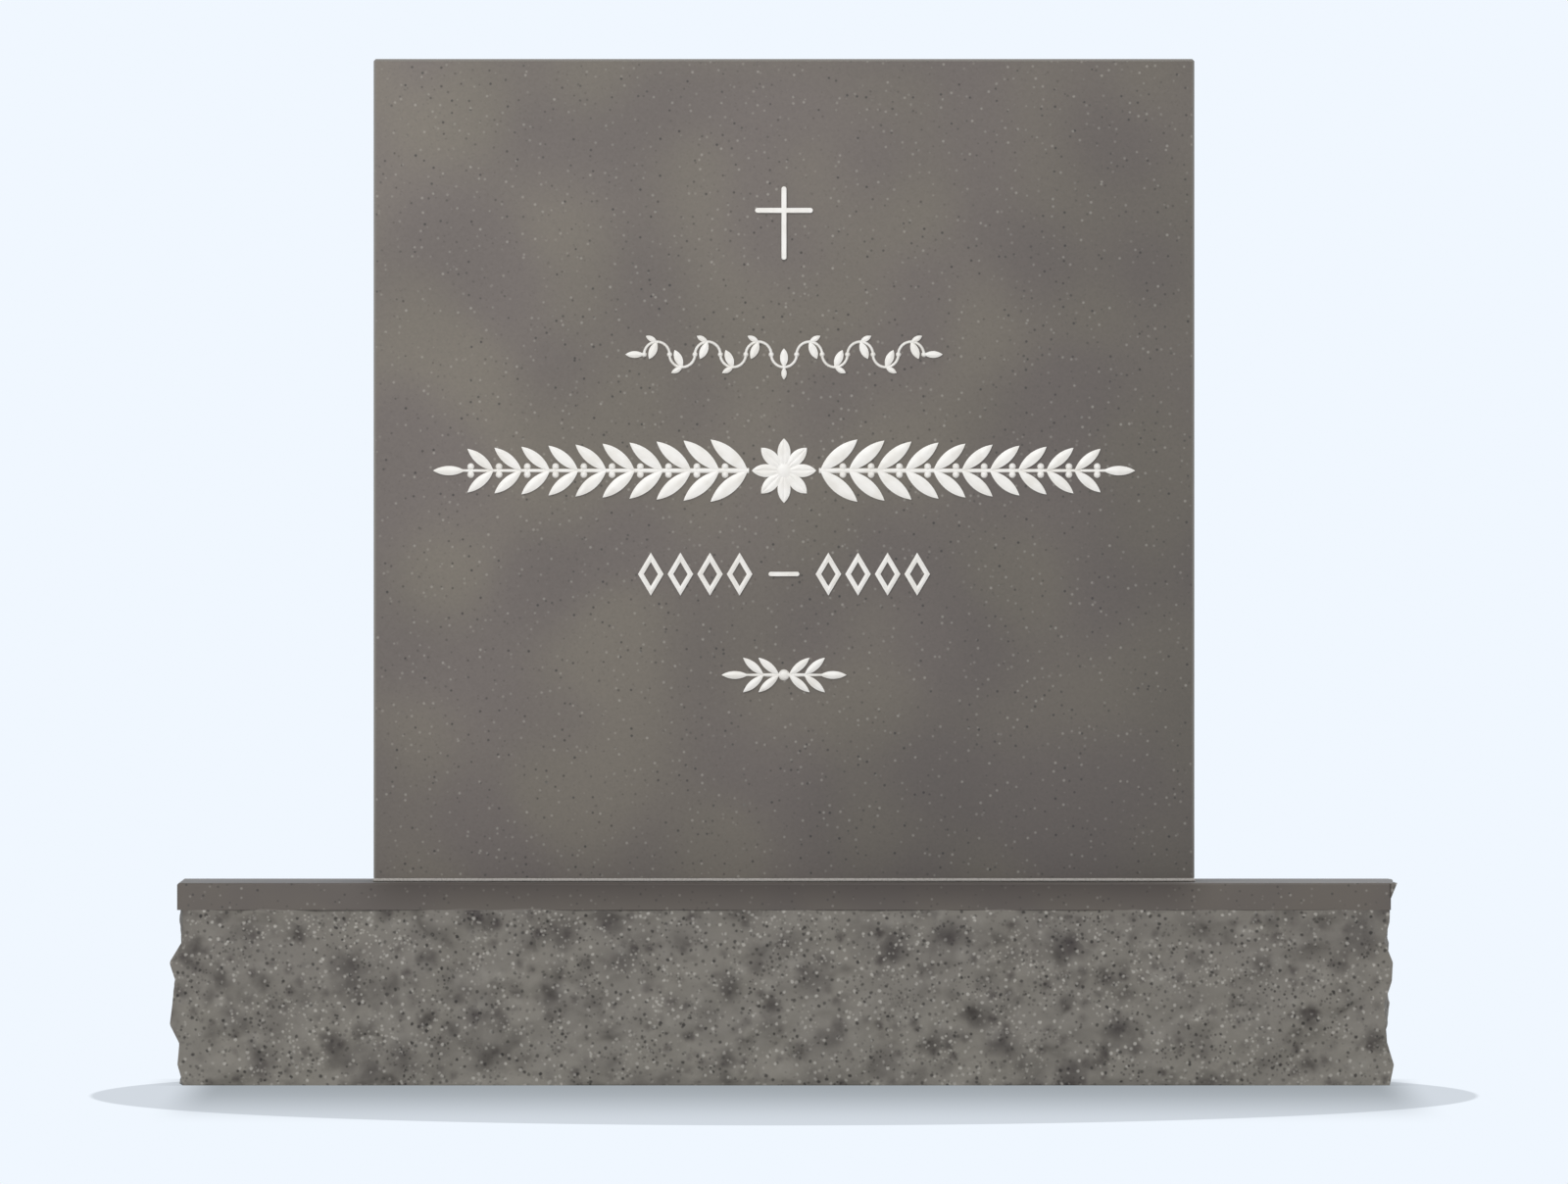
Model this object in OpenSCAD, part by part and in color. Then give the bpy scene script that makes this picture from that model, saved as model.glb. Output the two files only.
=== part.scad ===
// Upright headstone: a square polished tablet set on a rock-pitched base, with a
// raised cross and raised plain ornament on the front of the tablet.
// Millimetres. X runs along the width, -Y is the front and Z is up.
// The origin is the middle of the base's underside.

/* [Base] */
// Width of the base at its smooth margin
base_w = 900; // [760:1:1200]
// Depth of the base at its smooth margin, front to back
base_d = 305; // [260:1:460]
// Height of the base
base_h = 150; // [110:1:250]
// Height of the smooth margin round the top of the base
margin_h = 20; // [10:1:40]
// Width of the arris worked on the margin's edges
base_arris = 1.2; // [0.5:0.1:4]
// How far the pitched lines lie in from the margin
pitch_in = 0.8; // [0.8:0.1:8]
// How far the pitched faces swell past the margin at mid height
pitch_out = 4.6; // [0:0.1:12]
// Roughness of the pitched faces, to either side of the swell
pitch_rough = 3.6; // [0:0.1:6]
// Width of one chisel facet on the pitched faces
facet_w = 21; // [14:1:50]
// How far the broken lip at the right end's top edge stands out
lip_out = 4.7; // [1:0.1:10]
// Height of the broken lip
lip_h = 9; // [4:0.5:18]

/* [Tablet] */
// Width of the tablet
tablet_w = 610; // [520:1:740]
// Height of the tablet
tablet_h = 610; // [520:1:900]
// Thickness of the tablet, front to back
tablet_t = 152; // [100:1:220]
// Width of the arris worked on every edge of the tablet
tablet_arris = 1.6; // [0.5:0.1:6]

/* [Setting] */
// Thickness of the bed of setting compound
joint_t = 1.6; // [1:0.1:6]
// How far the bed's edge lies in from the tablet's faces
joint_in = 0.8; // [0:0.1:10]
// Diameter of a setting pad
pad_d = 25; // [15:1:40]
// Distance from the tablet's faces to the centre of a setting pad
pad_edge = 30; // [22:1:48]
// Gap round a setting pad
pad_gap = 0.3; // [0.1:0.1:1]
// Diameter of a dowel
dowel_d = 16; // [8:1:25]
// Length of a dowel
dowel_l = 150; // [90:1:180]
// Depth of a dowel in the base
dowel_sink = 75; // [40:1:80]
// Distance between the dowels
dowel_pitch = 305; // [150:1:380]
// Gap round a dowel in its hole
dowel_gap = 0.9; // [0.3:0.1:2]
// Free depth left over a dowel in the tablet
dowel_room = 6; // [1:1:20]

/* [Raised ornament] */
// Projection of the ornament from the tablet's face
relief = 2.4; // [1:0.1:6]
// Diameter of a fixing stud behind the ornament
stud_d = 2.4; // [1.5:0.1:3]
// Length of a fixing stud
stud_l = 14; // [8:1:30]
// Gap round a fixing stud in its hole
stud_gap = 0.3; // [0.1:0.05:0.8]

/* [Cross] */
// From the top of the tablet to the top of the cross
cross_drop = 94.7; // [40:0.1:110]
// Height of the cross
cross_h = 54.6; // [30:0.1:80]
// Width of the cross
cross_w = 43; // [24:0.1:70]
// Width of the bars of the cross
cross_bar = 3.8; // [3.4:0.1:8]
// From the top of the cross to the middle of its arm
cross_arm = 17.8; // [10:0.1:22]

/* [Vine] */
// From the top of the tablet to the middle of the vine
vine_drop = 219.6; // [200:0.1:240]
// Radius of one wave of the vine, at the middle of its stem
vine_r = 9.45; // [7:0.05:12]
// Number of half waves in the vine
vine_waves = 11; // [5:2:15]
// Width of the vine's stem
vine_stem = 2.2; // [1.5:0.1:3]
// Length of a leaf of the vine
vine_leaf = 14; // [8:0.5:18]

/* [Laurel band] */
// From the top of the tablet to the middle of the laurel band
band_drop = 305.9; // [285:0.1:320]
// From the edge of the tablet to the tip of the laurel
band_edge = 44; // [20:1:80]
// Length of the leaf next to the rosette
laurel_leaf = 36; // [20:0.5:40]
// Length of the leaf at the tip
laurel_tip = 24; // [12:0.5:30]
// Distance between pairs of leaves
laurel_pitch = 21.3; // [18:0.1:35]
// Width of the laurel's stem
laurel_stem = 4; // [3:0.1:6]
// Radius of the berries
berry_r = 2.6; // [1.5:0.1:3.5]
// Radius of the rosette
rosette_r = 24; // [16:0.5:28]
// Gap between the rosette and a laurel spray
rosette_gap = 3; // [1:0.5:10]

/* [Lozenge row] */
// From the top of the tablet to the middle of the lozenge row
row_drop = 382.8; // [365:0.1:400]
// Width of a lozenge
lozenge_w = 19; // [12:0.5:21]
// Height of a lozenge
lozenge_h = 32; // [20:0.5:40]
// Width of the frame of a lozenge
lozenge_frame = 3.6; // [3.4:0.1:4.5]
// Distance between lozenges
lozenge_pitch = 22; // [21.5:0.1:30]
// Length of the bar between the lozenges
bar_l = 23; // [12:0.5:30]
// Width of the bar
bar_w = 3.4; // [3.4:0.1:6]
// Gap between the bar and the lozenges beside it
bar_gap = 12; // [4:0.5:20]

/* [Sprig] */
// From the top of the tablet to the middle of the sprig
sprig_drop = 457.8; // [440:0.1:475]
// Length of the sprig
sprig_l = 93; // [60:0.5:120]
// Length of the leaves of the sprig
sprig_leaf = 20; // [10:0.5:22]
// Pairs of leaves on each half of the sprig
sprig_pairs = 2; // [1:1:4]

/* [Hidden] */
$fn = 96;
LOZENGES = 8;

STONE = "#76716a";
ROUGH_STONE = "#716e69";
COMPOUND = "#a39f9b";
PAD = "#55524e";
STEEL = "#b9bcbf";
ENAMEL = "#f3f1ec";

tablet_z = base_h + joint_t;
tablet_top = tablet_z + tablet_h;
face_y = -tablet_t / 2;
// Overlap that makes two shapes of one piece a single solid
sink = 1;

// ---- Pitched faces of the base -------------------------------------------

rock_h = base_h - margin_h;
// Heights of the rings of facets, as shares of the pitched height
ring_share = [0, 0.12, 0.24, 0.35, 0.47, 0.60, 0.70, 0.82, 0.93, 1];
rings = len(ring_share);
// Outline of each end at those heights, measured out from the margin
left_outline = [-4.3, 0, -1.4, 5.8, 3.6, 1.4, 5.8, -3.6, -4.0, -4.3];
right_outline = [-0.8, 2.5, -2.5, -3.6, -4.7, 1.1, 1.8, -4.7, -1.0, -0.8];
// Swell in the middle of each end, as a share of the long faces' swell
end_swell = 0.3;
// Facets over which an end passes from its outline at the corners to that swell
end_blend = 5;
// Shares of a facet by which its corners are shifted along and up the face
shift_along = 0.34;
shift_up = 0.26;
// Share of the roughness left at the straight pitched lines, top and bottom
line_rough = 0.35;

long_facets = max(2, round(base_w / facet_w));
short_facets = max(2, round(base_d / facet_w));
columns = 2 * (long_facets + short_facets);
rough = rands(-1, 1, columns * rings, 41);
along = rands(-1, 1, columns * rings, 7);
upward = rands(-1, 1, columns * rings, 23);

// Sides are numbered 0 front, 1 right, 2 back and 3 left, anticlockwise from above
function side_start(s) = [0, long_facets, long_facets + short_facets,
                          2 * long_facets + short_facets][s];
function side_facets(s) = s % 2 == 0 ? long_facets : short_facets;
function side_of(k) = k < side_start(1) ? 0 : k < side_start(2) ? 1 : k < side_start(3) ? 2 : 3;
function side_out(s) = [[0, -1], [1, 0], [0, 1], [-1, 0]][s];
function side_along(s) = [[1, 0], [0, 1], [-1, 0], [0, -1]][s];
function side_length(s) = s % 2 == 0 ? base_w : base_d;
function corner(s) = [[-base_w, -base_d], [base_w, -base_d], [base_w, base_d], [-base_w, base_d]][s] / 2;

function is_line(j) = j == 0 || j == rings - 1;
function swell(j, share) = -pitch_in + (pitch_in + pitch_out * share) * sin(180 * ring_share[j]);
function face_rough(j, r) = pitch_rough * r * (is_line(j) ? line_rough : 1);
function end_share(i) = min(1, pow(min(i, short_facets - i) / end_blend, 1.3));
function end_out(outline, i, j, r) =
    outline * (1 - end_share(i)) + (swell(j, end_swell) + face_rough(j, r)) * end_share(i);
function face_out(s, i, j, r) = s == 1 ? end_out(right_outline[j], i, j, r)
                              : s == 3 ? end_out(left_outline[j], i, j, r)
                              : swell(j, 1) + face_rough(j, r);

function ring_z(j, r) = rock_h * (ring_share[j]
    + (is_line(j) ? 0 : shift_up * r * (ring_share[j + 1] - ring_share[j - 1]) / 2));

function rock_point(j, k) =
    let (s = side_of(k), i = k - side_start(s), n = j * columns + k,
         at_corner = i == 0, step = side_length(s) / side_facets(s),
         shift = at_corner ? 0 : shift_along * along[n],
         out = side_out(s) * face_out(s, i, j, at_corner ? 0 : rough[n])
             + (at_corner ? side_out((s + 3) % 4) * face_out((s + 3) % 4, 0, j, 0) : [0, 0]),
         p = corner(s) + side_along(s) * step * (i + shift) + out)
    [p[0], p[1], ring_z(j, at_corner ? 0 : upward[n])];

// The last ring runs up inside the margin, drawn in, so that the two join as one stone
function core_point(k) =
    let (p = rock_point(rings - 1, k), inset = 4)
    [p[0] - sign(p[0]) * inset, p[1] - sign(p[1]) * inset, rock_h + margin_h / 2];

function facet(j, k) =
    let (a = j * columns + k, b = j * columns + (k + 1) % columns, c = b + columns, d = a + columns)
    (j + k) % 2 == 0 ? [[a, d, c], [a, c, b]] : [[a, d, b], [b, d, c]];

module pitched_body() {
    points = concat([for (j = [0:rings - 1], k = [0:columns - 1]) rock_point(j, k)],
                    [for (k = [0:columns - 1]) core_point(k)]);
    sides = [for (j = [0:rings - 1], k = [0:columns - 1]) each facet(j, k)];
    under = [for (k = [0:columns - 1]) k];
    top = [for (k = [columns - 1:-1:0]) rings * columns + k];
    polyhedron(concat(points), concat(sides, [under, top]));
}

// Broken edge at the right end's top: a three-sided bar whose width varies along the depth
module broken_lip() {
    steps = short_facets;
    reach = rands(0.45, 1, steps + 1, 12);
    function y(i) = (base_d / 2 - base_arris) * (2 * i / steps - 1);
    function out(i) = lip_out * (i < 2 ? 1 : reach[i]);
    points = [for (i = [0:steps]) each [
        [base_w / 2 - base_arris - sink, y(i), base_h],
        [base_w / 2 + out(i), y(i), base_h],
        [base_w / 2 - base_arris - sink, y(i), base_h - lip_h * (0.6 + 0.4 * reach[i]) - sink]]];
    sides = [for (i = [0:steps - 1]) let (p = 3 * i, q = 3 * i + 3) each [
        [p, q, q + 1], [p, q + 1, p + 1],
        [p + 1, q + 1, q + 2], [p + 1, q + 2, p + 2],
        [p + 2, q + 2, q], [p + 2, q, p]]];
    last = 3 * steps;
    polyhedron(points, concat(sides, [[0, 1, 2], [last, last + 2, last + 1]]));
}

// ---- Stones ---------------------------------------------------------------

module cut_corner_rectangle(w, h, cut) {
    polygon([[cut - w / 2, -h / 2], [w / 2 - cut, -h / 2], [w / 2, cut - h / 2], [w / 2, h / 2 - cut],
             [w / 2 - cut, h / 2], [cut - w / 2, h / 2], [-w / 2, h / 2 - cut], [-w / 2, cut - h / 2]]);
}

// Block standing on z = 0 with an arris cut along each of its twelve edges
module arrised_block(w, d, h, arris) {
    translate([0, 0, h / 2])
        intersection() {
            linear_extrude(h, center = true) cut_corner_rectangle(w, d, arris);
            rotate([90, 0, 0]) linear_extrude(d, center = true) cut_corner_rectangle(w, h, arris);
            rotate([90, 0, 90]) linear_extrude(w, center = true) cut_corner_rectangle(d, h, arris);
        }
}

module margin_block() {
    intersection() {
        arrised_block(base_w, base_d, base_h, base_arris);
        translate([-base_w, -base_d, rock_h]) cube([2 * base_w, 2 * base_d, base_h]);
    }
}

module dowel_hole(side, z, depth) {
    translate([side * dowel_pitch / 2, 0, z]) cylinder(d = dowel_d + 2 * dowel_gap, h = depth);
}

module base() {
    color(ROUGH_STONE)
        difference() {
            union() {
                margin_block();
                pitched_body();
                broken_lip();
            }
            for (side = [-1, 1]) dowel_hole(side, base_h - dowel_sink, dowel_sink + sink);
        }
}

module tablet() {
    color(STONE)
        difference() {
            translate([0, 0, tablet_z]) arrised_block(tablet_w, tablet_t, tablet_h, tablet_arris);
            for (side = [-1, 1])
                dowel_hole(side, tablet_z - sink, dowel_l - dowel_sink - joint_t + dowel_room + sink);
            stud_holes(cross_drop, cross_studs);
            stud_holes(vine_drop, vine_studs);
            for (side = [-1, 1]) stud_holes(band_drop, laurel_studs(side));
            stud_holes(band_drop, rosette_studs);
            for (i = [1:LOZENGES]) stud_holes(row_drop, lozenge_studs(i));
            stud_holes(row_drop, bar_studs);
            stud_holes(sprig_drop, sprig_studs);
        }
}

// ---- Setting --------------------------------------------------------------

function pad_place(side, depth) = [side * (tablet_w / 2 - pad_edge), depth * (tablet_t / 2 - pad_edge), base_h];

module joint_bed() {
    color(COMPOUND)
        difference() {
            translate([joint_in - tablet_w / 2, joint_in - tablet_t / 2, base_h])
                cube([tablet_w - 2 * joint_in, tablet_t - 2 * joint_in, joint_t]);
            for (side = [-1, 1], depth = [-1, 1])
                translate(pad_place(side, depth) - [0, 0, sink])
                    cylinder(d = pad_d + 2 * pad_gap, h = joint_t + 2 * sink);
            for (side = [-1, 1]) dowel_hole(side, base_h - sink, joint_t + 2 * sink);
        }
}

module setting_pad(side, depth) {
    color(PAD) translate(pad_place(side, depth)) cylinder(d = pad_d, h = joint_t);
}

module dowel(side) {
    bevel = dowel_d / 12;
    color(STEEL)
        translate([side * dowel_pitch / 2, 0, base_h - dowel_sink])
            rotate_extrude()
                polygon([[0, 0], [dowel_d / 2 - bevel, 0], [dowel_d / 2, bevel],
                         [dowel_d / 2, dowel_l - bevel], [dowel_d / 2 - bevel, dowel_l], [0, dowel_l]]);
}

// ---- Raised ornament ------------------------------------------------------
// Each piece is drawn flat, X to the right and Y up, about its own centre.

module on_face(drop) {
    translate([0, face_y, tablet_top - drop]) rotate([90, 0, 0]) children();
}

module stud_holes(drop, places) {
    on_face(drop)
        for (p = places)
            translate([p[0], p[1], -stud_l - stud_gap])
                cylinder(d = stud_d + 2 * stud_gap, h = stud_l + stud_gap + sink);
}

// A flat piece with its fixing studs behind it
module raised(drop, places) {
    color(ENAMEL)
        on_face(drop) {
            linear_extrude(relief) children();
            for (p = places)
                translate([p[0], p[1], -stud_l]) cylinder(d = stud_d, h = stud_l + relief / 2);
        }
}

// Bar with round ends, along X
module round_bar(l, w) {
    square([l - w, w], center = true);
    for (side = [-1, 1]) translate([side * (l - w) / 2, 0]) circle(d = w);
}

// Pointed oval from the origin along X
module leaf(l, w) {
    r = (l * l + w * w) / (4 * w);
    intersection() {
        translate([l / 2, r - w / 2]) circle(r);
        translate([l / 2, w / 2 - r]) circle(r);
    }
}

// Width of a leaf as a share of its length
leaf_slim = 0.29;
// Angle of the leaves from their stem
leaf_angle = 40;

// Stem along X with pairs of leaves from the origin on, which shorten towards its tip
module spray(l, pairs, first_leaf, last_leaf, stem, berry) {
    pitch = (l - last_leaf) / pairs;
    stem_end = pairs * pitch + last_leaf * 0.15;
    polygon([[-sink, -stem / 2], [-sink, stem / 2], [stem_end, stem / 4], [stem_end, -stem / 4]]);
    for (i = [0:pairs - 1], side = [-1, 1]) {
        leaf_l = first_leaf + (last_leaf - first_leaf) * i / pairs;
        translate([i * pitch, 0]) rotate(side * leaf_angle) leaf(leaf_l, leaf_l * leaf_slim);
        if (berry > 0)
            translate([(i + 0.8) * pitch, side * berry * 1.15]) circle(berry);
    }
    translate([pairs * pitch, 0]) leaf(last_leaf, last_leaf * leaf_slim);
}

cross_studs = [[0, cross_arm / -2], [0, cross_arm - cross_h / 1.2]];

module cross() {
    raised(cross_drop, cross_studs) {
        translate([0, -cross_h / 2]) rotate(90) round_bar(cross_h, cross_bar);
        translate([0, -cross_arm]) round_bar(cross_w, cross_bar);
    }
}

// Middle of half wave i, counted from the left
function wave_x(i) = (2 * i - vine_waves + 1) * vine_r;
vine_studs = [for (i = [0, vine_waves]) [(2 * i - vine_waves) * vine_r, 0]];

module flipped(down) {
    mirror([0, down ? 1 : 0]) children();
}

module half_wave() {
    intersection() {
        difference() {
            circle(vine_r + vine_stem / 2);
            circle(vine_r - vine_stem / 2);
        }
        translate([-2 * vine_r, 0]) square([4 * vine_r, 2 * vine_r]);
    }
}

// Angles by which the vine's large and small leaves lean away from the middle of the row
large_lean = 24;
small_lean = 62;
// Widths of the vine's large, small and end leaves, as shares of vine_leaf
large_slim = 0.42;
small_slim = 0.28;
end_slim = 0.36;
// Length of the small leaves, as a share of vine_leaf
small_share = 0.66;

module vine() {
    raised(vine_drop, vine_studs) {
        for (i = [0:vine_waves - 1])
            translate([wave_x(i), 0]) flipped(i % 2 == 1) {
                outward = sign(wave_x(i));
                half_wave();
                translate([0, vine_r]) rotate(-90 + large_lean * outward)
                    leaf(vine_leaf, vine_leaf * large_slim);
                translate([0, vine_r]) rotate(90 - small_lean * outward)
                    leaf(vine_leaf * small_share, vine_leaf * small_slim);
            }
        for (i = [0:vine_waves])
            translate([(2 * i - vine_waves) * vine_r, 0]) circle(vine_stem * 0.9);
        for (side = [-1, 1])
            translate([side * vine_waves * vine_r, 0]) rotate(side > 0 ? 0 : 180)
                leaf(vine_leaf, vine_leaf * end_slim);
    }
}

laurel_start = rosette_r + rosette_gap;
laurel_l = tablet_w / 2 - band_edge - laurel_start;
laurel_pairs = max(1, round((laurel_l - laurel_tip) / laurel_pitch));
// The studs stand where a pair of leaves leaves the stem
function laurel_studs(side) =
    [for (i = [0, floor(laurel_pairs / 2), laurel_pairs - 1])
        [side * (laurel_start + i * (laurel_l - laurel_tip) / laurel_pairs + stud_d), 0]];

module laurel(side) {
    raised(band_drop, laurel_studs(side))
        rotate(side > 0 ? 0 : 180) translate([laurel_start, 0])
            spray(laurel_l, laurel_pairs, laurel_leaf, laurel_tip, laurel_stem, berry_r);
}

rosette_studs = [[0, 0]];

module rosette() {
    petals = 8;
    raised(band_drop, rosette_studs) {
        for (i = [0:petals - 1])
            rotate(360 * i / petals) translate([rosette_r / 8, 0]) leaf(rosette_r * 7 / 8, rosette_r * 0.4);
        circle(rosette_r * 0.3);
    }
}

// Middle of lozenge i, counted from the left, in two groups either side of the bar
function lozenge_x(i) =
    let (half = LOZENGES / 2, n = i > half ? i - half : half + 1 - i)
    (i > half ? 1 : -1) * (bar_l / 2 + bar_gap + lozenge_w / 2 + (n - 1) * lozenge_pitch);
// The stud stands in the frame's upper corner
function lozenge_studs(i) =
    let (inner = 1 - lozenge_frame / lozenge_reach / 2)
    [[lozenge_x(i), lozenge_h / 2 * inner - lozenge_frame / 4]];
// From the middle of a lozenge to its sides
lozenge_reach = lozenge_w * lozenge_h / 2 / sqrt(lozenge_w * lozenge_w + lozenge_h * lozenge_h);

module rhombus(w, h) {
    polygon([[w / 2, 0], [0, h / 2], [-w / 2, 0], [0, -h / 2]]);
}

module lozenge(i) {
    inner = 1 - lozenge_frame / lozenge_reach;
    raised(row_drop, lozenge_studs(i))
        translate([lozenge_x(i), 0])
            difference() {
                rhombus(lozenge_w, lozenge_h);
                rhombus(lozenge_w * inner, lozenge_h * inner);
            }
}

bar_studs = [[0, 0]];

module bar() {
    raised(row_drop, bar_studs) round_bar(bar_l, bar_w);
}

sprig_stem = 3.2;
sprig_bud = 4.2;
sprig_studs = [[0, 0]];

module sprig() {
    raised(sprig_drop, sprig_studs) {
        circle(sprig_bud);
        for (turn = [0, 180])
            rotate(turn) translate([sprig_bud - sink / 2, 0])
                spray(sprig_l / 2 - sprig_bud + sink / 2, sprig_pairs, sprig_leaf, sprig_leaf, sprig_stem, 0);
    }
}

base();
tablet();
joint_bed();
setting_pad(-1, -1);  // setting_pad_front_left
setting_pad(1, -1);  // setting_pad_front_right
setting_pad(-1, 1);  // setting_pad_back_left
setting_pad(1, 1);  // setting_pad_back_right
dowel(-1);  // dowel_left
dowel(1);  // dowel_right
cross();
vine();
laurel(-1);  // laurel_left
laurel(1);  // laurel_right
rosette();
for (i = [1:LOZENGES])
    lozenge(i);
bar();
sprig();
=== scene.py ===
"""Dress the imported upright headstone: a polished granite tablet on a rock-pitched base.

Everything is in metres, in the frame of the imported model: X along the width, -Y the front
and Z up. A field whose name ends in _mm holds millimetres.
"""

import logging
import math
from collections.abc import Iterable, Sequence
from dataclasses import dataclass
from enum import Enum

import bmesh
import bpy
from mathutils import Matrix, Vector, noise


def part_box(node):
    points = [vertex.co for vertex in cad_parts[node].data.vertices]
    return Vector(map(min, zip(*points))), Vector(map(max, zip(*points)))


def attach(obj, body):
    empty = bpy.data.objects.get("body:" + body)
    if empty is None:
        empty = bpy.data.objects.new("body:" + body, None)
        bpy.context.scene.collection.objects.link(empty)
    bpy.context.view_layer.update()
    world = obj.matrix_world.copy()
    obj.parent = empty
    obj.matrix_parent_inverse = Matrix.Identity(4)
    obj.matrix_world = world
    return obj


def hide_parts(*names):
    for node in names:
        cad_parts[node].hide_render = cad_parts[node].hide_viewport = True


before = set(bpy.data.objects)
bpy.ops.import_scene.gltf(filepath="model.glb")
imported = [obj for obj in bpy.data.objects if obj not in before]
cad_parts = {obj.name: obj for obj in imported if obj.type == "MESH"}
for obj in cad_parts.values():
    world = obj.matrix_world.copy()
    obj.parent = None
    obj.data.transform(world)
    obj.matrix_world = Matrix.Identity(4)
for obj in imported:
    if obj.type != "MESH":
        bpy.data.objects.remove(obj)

LOG = logging.getLogger("headstone")
MM = 0.001
ROOT = "root"
# Height of the smooth margin round the top of the base
MARGIN = 20.0 * MM
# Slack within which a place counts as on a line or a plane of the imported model
SLACK = 0.1 * MM
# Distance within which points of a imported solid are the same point
WELD = 0.001 * MM

# Sockets of a Mix node that mixes colours: its names are shared with those for numbers
FACTOR, COLOUR_A, COLOUR_B, COLOUR_OUT = 0, 6, 7, 2

Socket = bpy.types.NodeSocket
Tree = bpy.types.NodeTree


class Slot(Enum):
    """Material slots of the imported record."""

    PITCHED = "pitched_granite"
    POLISHED = "polished_granite"
    COMPOUND = "setting_compound"
    PAD = "setting_pad"
    STEEL = "stainless_steel"
    ENAMEL = "white_enamel"


# ---- Shader tools ----------------------------------------------------------


def linear(code: str) -> tuple[float, float, float, float]:
    """Turn an sRGB hex colour into the linear colour that a socket takes.

    Args:
        code: Six hex digits after a hash sign.

    Returns:
        Linear red, green and blue, with an alpha of 1.
    """
    shares = [int(code[i : i + 2], 16) / 255 for i in (1, 3, 5)]
    red, green, blue = (s / 12.92 if s <= 0.04045 else ((s + 0.055) / 1.055) ** 2.4 for s in shares)
    return red, green, blue, 1.0


def add_node(
    tree: Tree,
    kind: str,
    settings: dict[str | int, object] | None = None,
    links: dict[str | int, Socket] | None = None,
) -> bpy.types.Node:
    """Add one shader node, set it and link what feeds it.

    Args:
        tree: Node tree that gets the node.
        kind: The node's type, such as ShaderNodeMix.
        settings: Values by the name of a property, or by the name or number of a socket.
        links: Output sockets of other nodes, by the name or number of the socket they feed.

    Returns:
        The new node.
    """
    node = tree.nodes.new(kind)
    properties = {name: value for name, value in (settings or {}).items() if hasattr(node, str(name))}
    for name, value in properties.items():
        setattr(node, name, value)
    for name, value in (settings or {}).items():
        if name not in properties:
            node.inputs[name].default_value = value
    for name, socket in (links or {}).items():
        tree.links.new(socket, node.inputs[name])
    return node


def point(tree: Tree) -> Socket:
    """Place of the point that is shaded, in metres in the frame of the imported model."""
    return add_node(tree, "ShaderNodeTexCoord").outputs["Object"]


def axes(tree: Tree, vector: Socket) -> dict[str, Socket]:
    """Split a vector into its parts along X, Y and Z, in that order and by those names."""
    parts = add_node(tree, "ShaderNodeSeparateXYZ", links={"Vector": vector}).outputs
    return {axis: parts[axis] for axis in "XYZ"}


def combined(tree: Tree, first: Socket, second: Socket, operation: str = "MULTIPLY") -> Socket:
    """Work out one number from two others.

    Args:
        tree: Node tree that gets the nodes.
        first: The first number.
        second: The second number.
        operation: Name of a Math node's operation.

    Returns:
        The socket that carries the result.
    """
    return add_node(
        tree, "ShaderNodeMath", {"operation": operation}, {0: first, 1: second}
    ).outputs["Value"]


def mapped(
    tree: Tree, value: Socket, start: float = 0.0, end: float = 1.0, first: float = 0.0, last: float = 1.0
) -> Socket:
    """Turn a number into another that runs evenly between two values and is held at both.

    Args:
        tree: Node tree that gets the nodes.
        value: The number.
        start: Level of the number that gives the first value.
        end: Level of the number that gives the last value.
        first: Value at the start.
        last: Value at the end.

    Returns:
        The socket that carries the other number.
    """
    return add_node(
        tree,
        "ShaderNodeMapRange",
        {"From Min": start, "From Max": end, "To Min": first, "To Max": last},
        {"Value": value},
    ).outputs["Result"]


def ramp(tree: Tree, value: Socket, clear: float, full: float) -> Socket:
    """Mask that runs softly between two levels of a number.

    Args:
        tree: Node tree that gets the nodes.
        value: The number.
        clear: Level of the number where the mask is 0.
        full: Level of the number where the mask is 1.

    Returns:
        The socket that carries the mask.
    """
    return add_node(
        tree,
        "ShaderNodeMapRange",
        {"interpolation_type": "SMOOTHSTEP", "From Min": clear, "From Max": full},
        {"Value": value},
    ).outputs["Result"]


def layered(tree: Tree, below: Socket, code: str, share: Socket) -> Socket:
    """Lay a plain colour over another one.

    Args:
        tree: Node tree that gets the nodes.
        below: Colour that lies below.
        code: Colour on top, as six hex digits after a hash sign.
        share: Share of the colour on top, from 0 to 1.

    Returns:
        The socket that carries the colour of both.
    """
    return add_node(
        tree,
        "ShaderNodeMix",
        {"data_type": "RGBA", COLOUR_B: linear(code)},
        {FACTOR: share, COLOUR_A: below},
    ).outputs[COLOUR_OUT]


# ---- Patterns in the stone -------------------------------------------------


@dataclass(frozen=True)
class Pattern:
    """Something that runs through the stone as a solid, so that all its faces match."""

    size_mm: float
    seed: float = 0.0

    def place(self, tree: Tree) -> Socket:
        """Coordinates in the stone, in sizes of the pattern and moved by its seed.

        Args:
            tree: Node tree that gets the nodes.

        Returns:
            The socket that carries the coordinates.
        """
        share = 1 / (self.size_mm * MM)
        # The seed moves the pattern by another way along each axis
        moved = {"Location": (self.seed, self.seed * 2.7, self.seed * 1.3), "Scale": (share, share, share)}
        return add_node(tree, "ShaderNodeMapping", moved, {"Vector": point(tree)}).outputs["Vector"]


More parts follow.
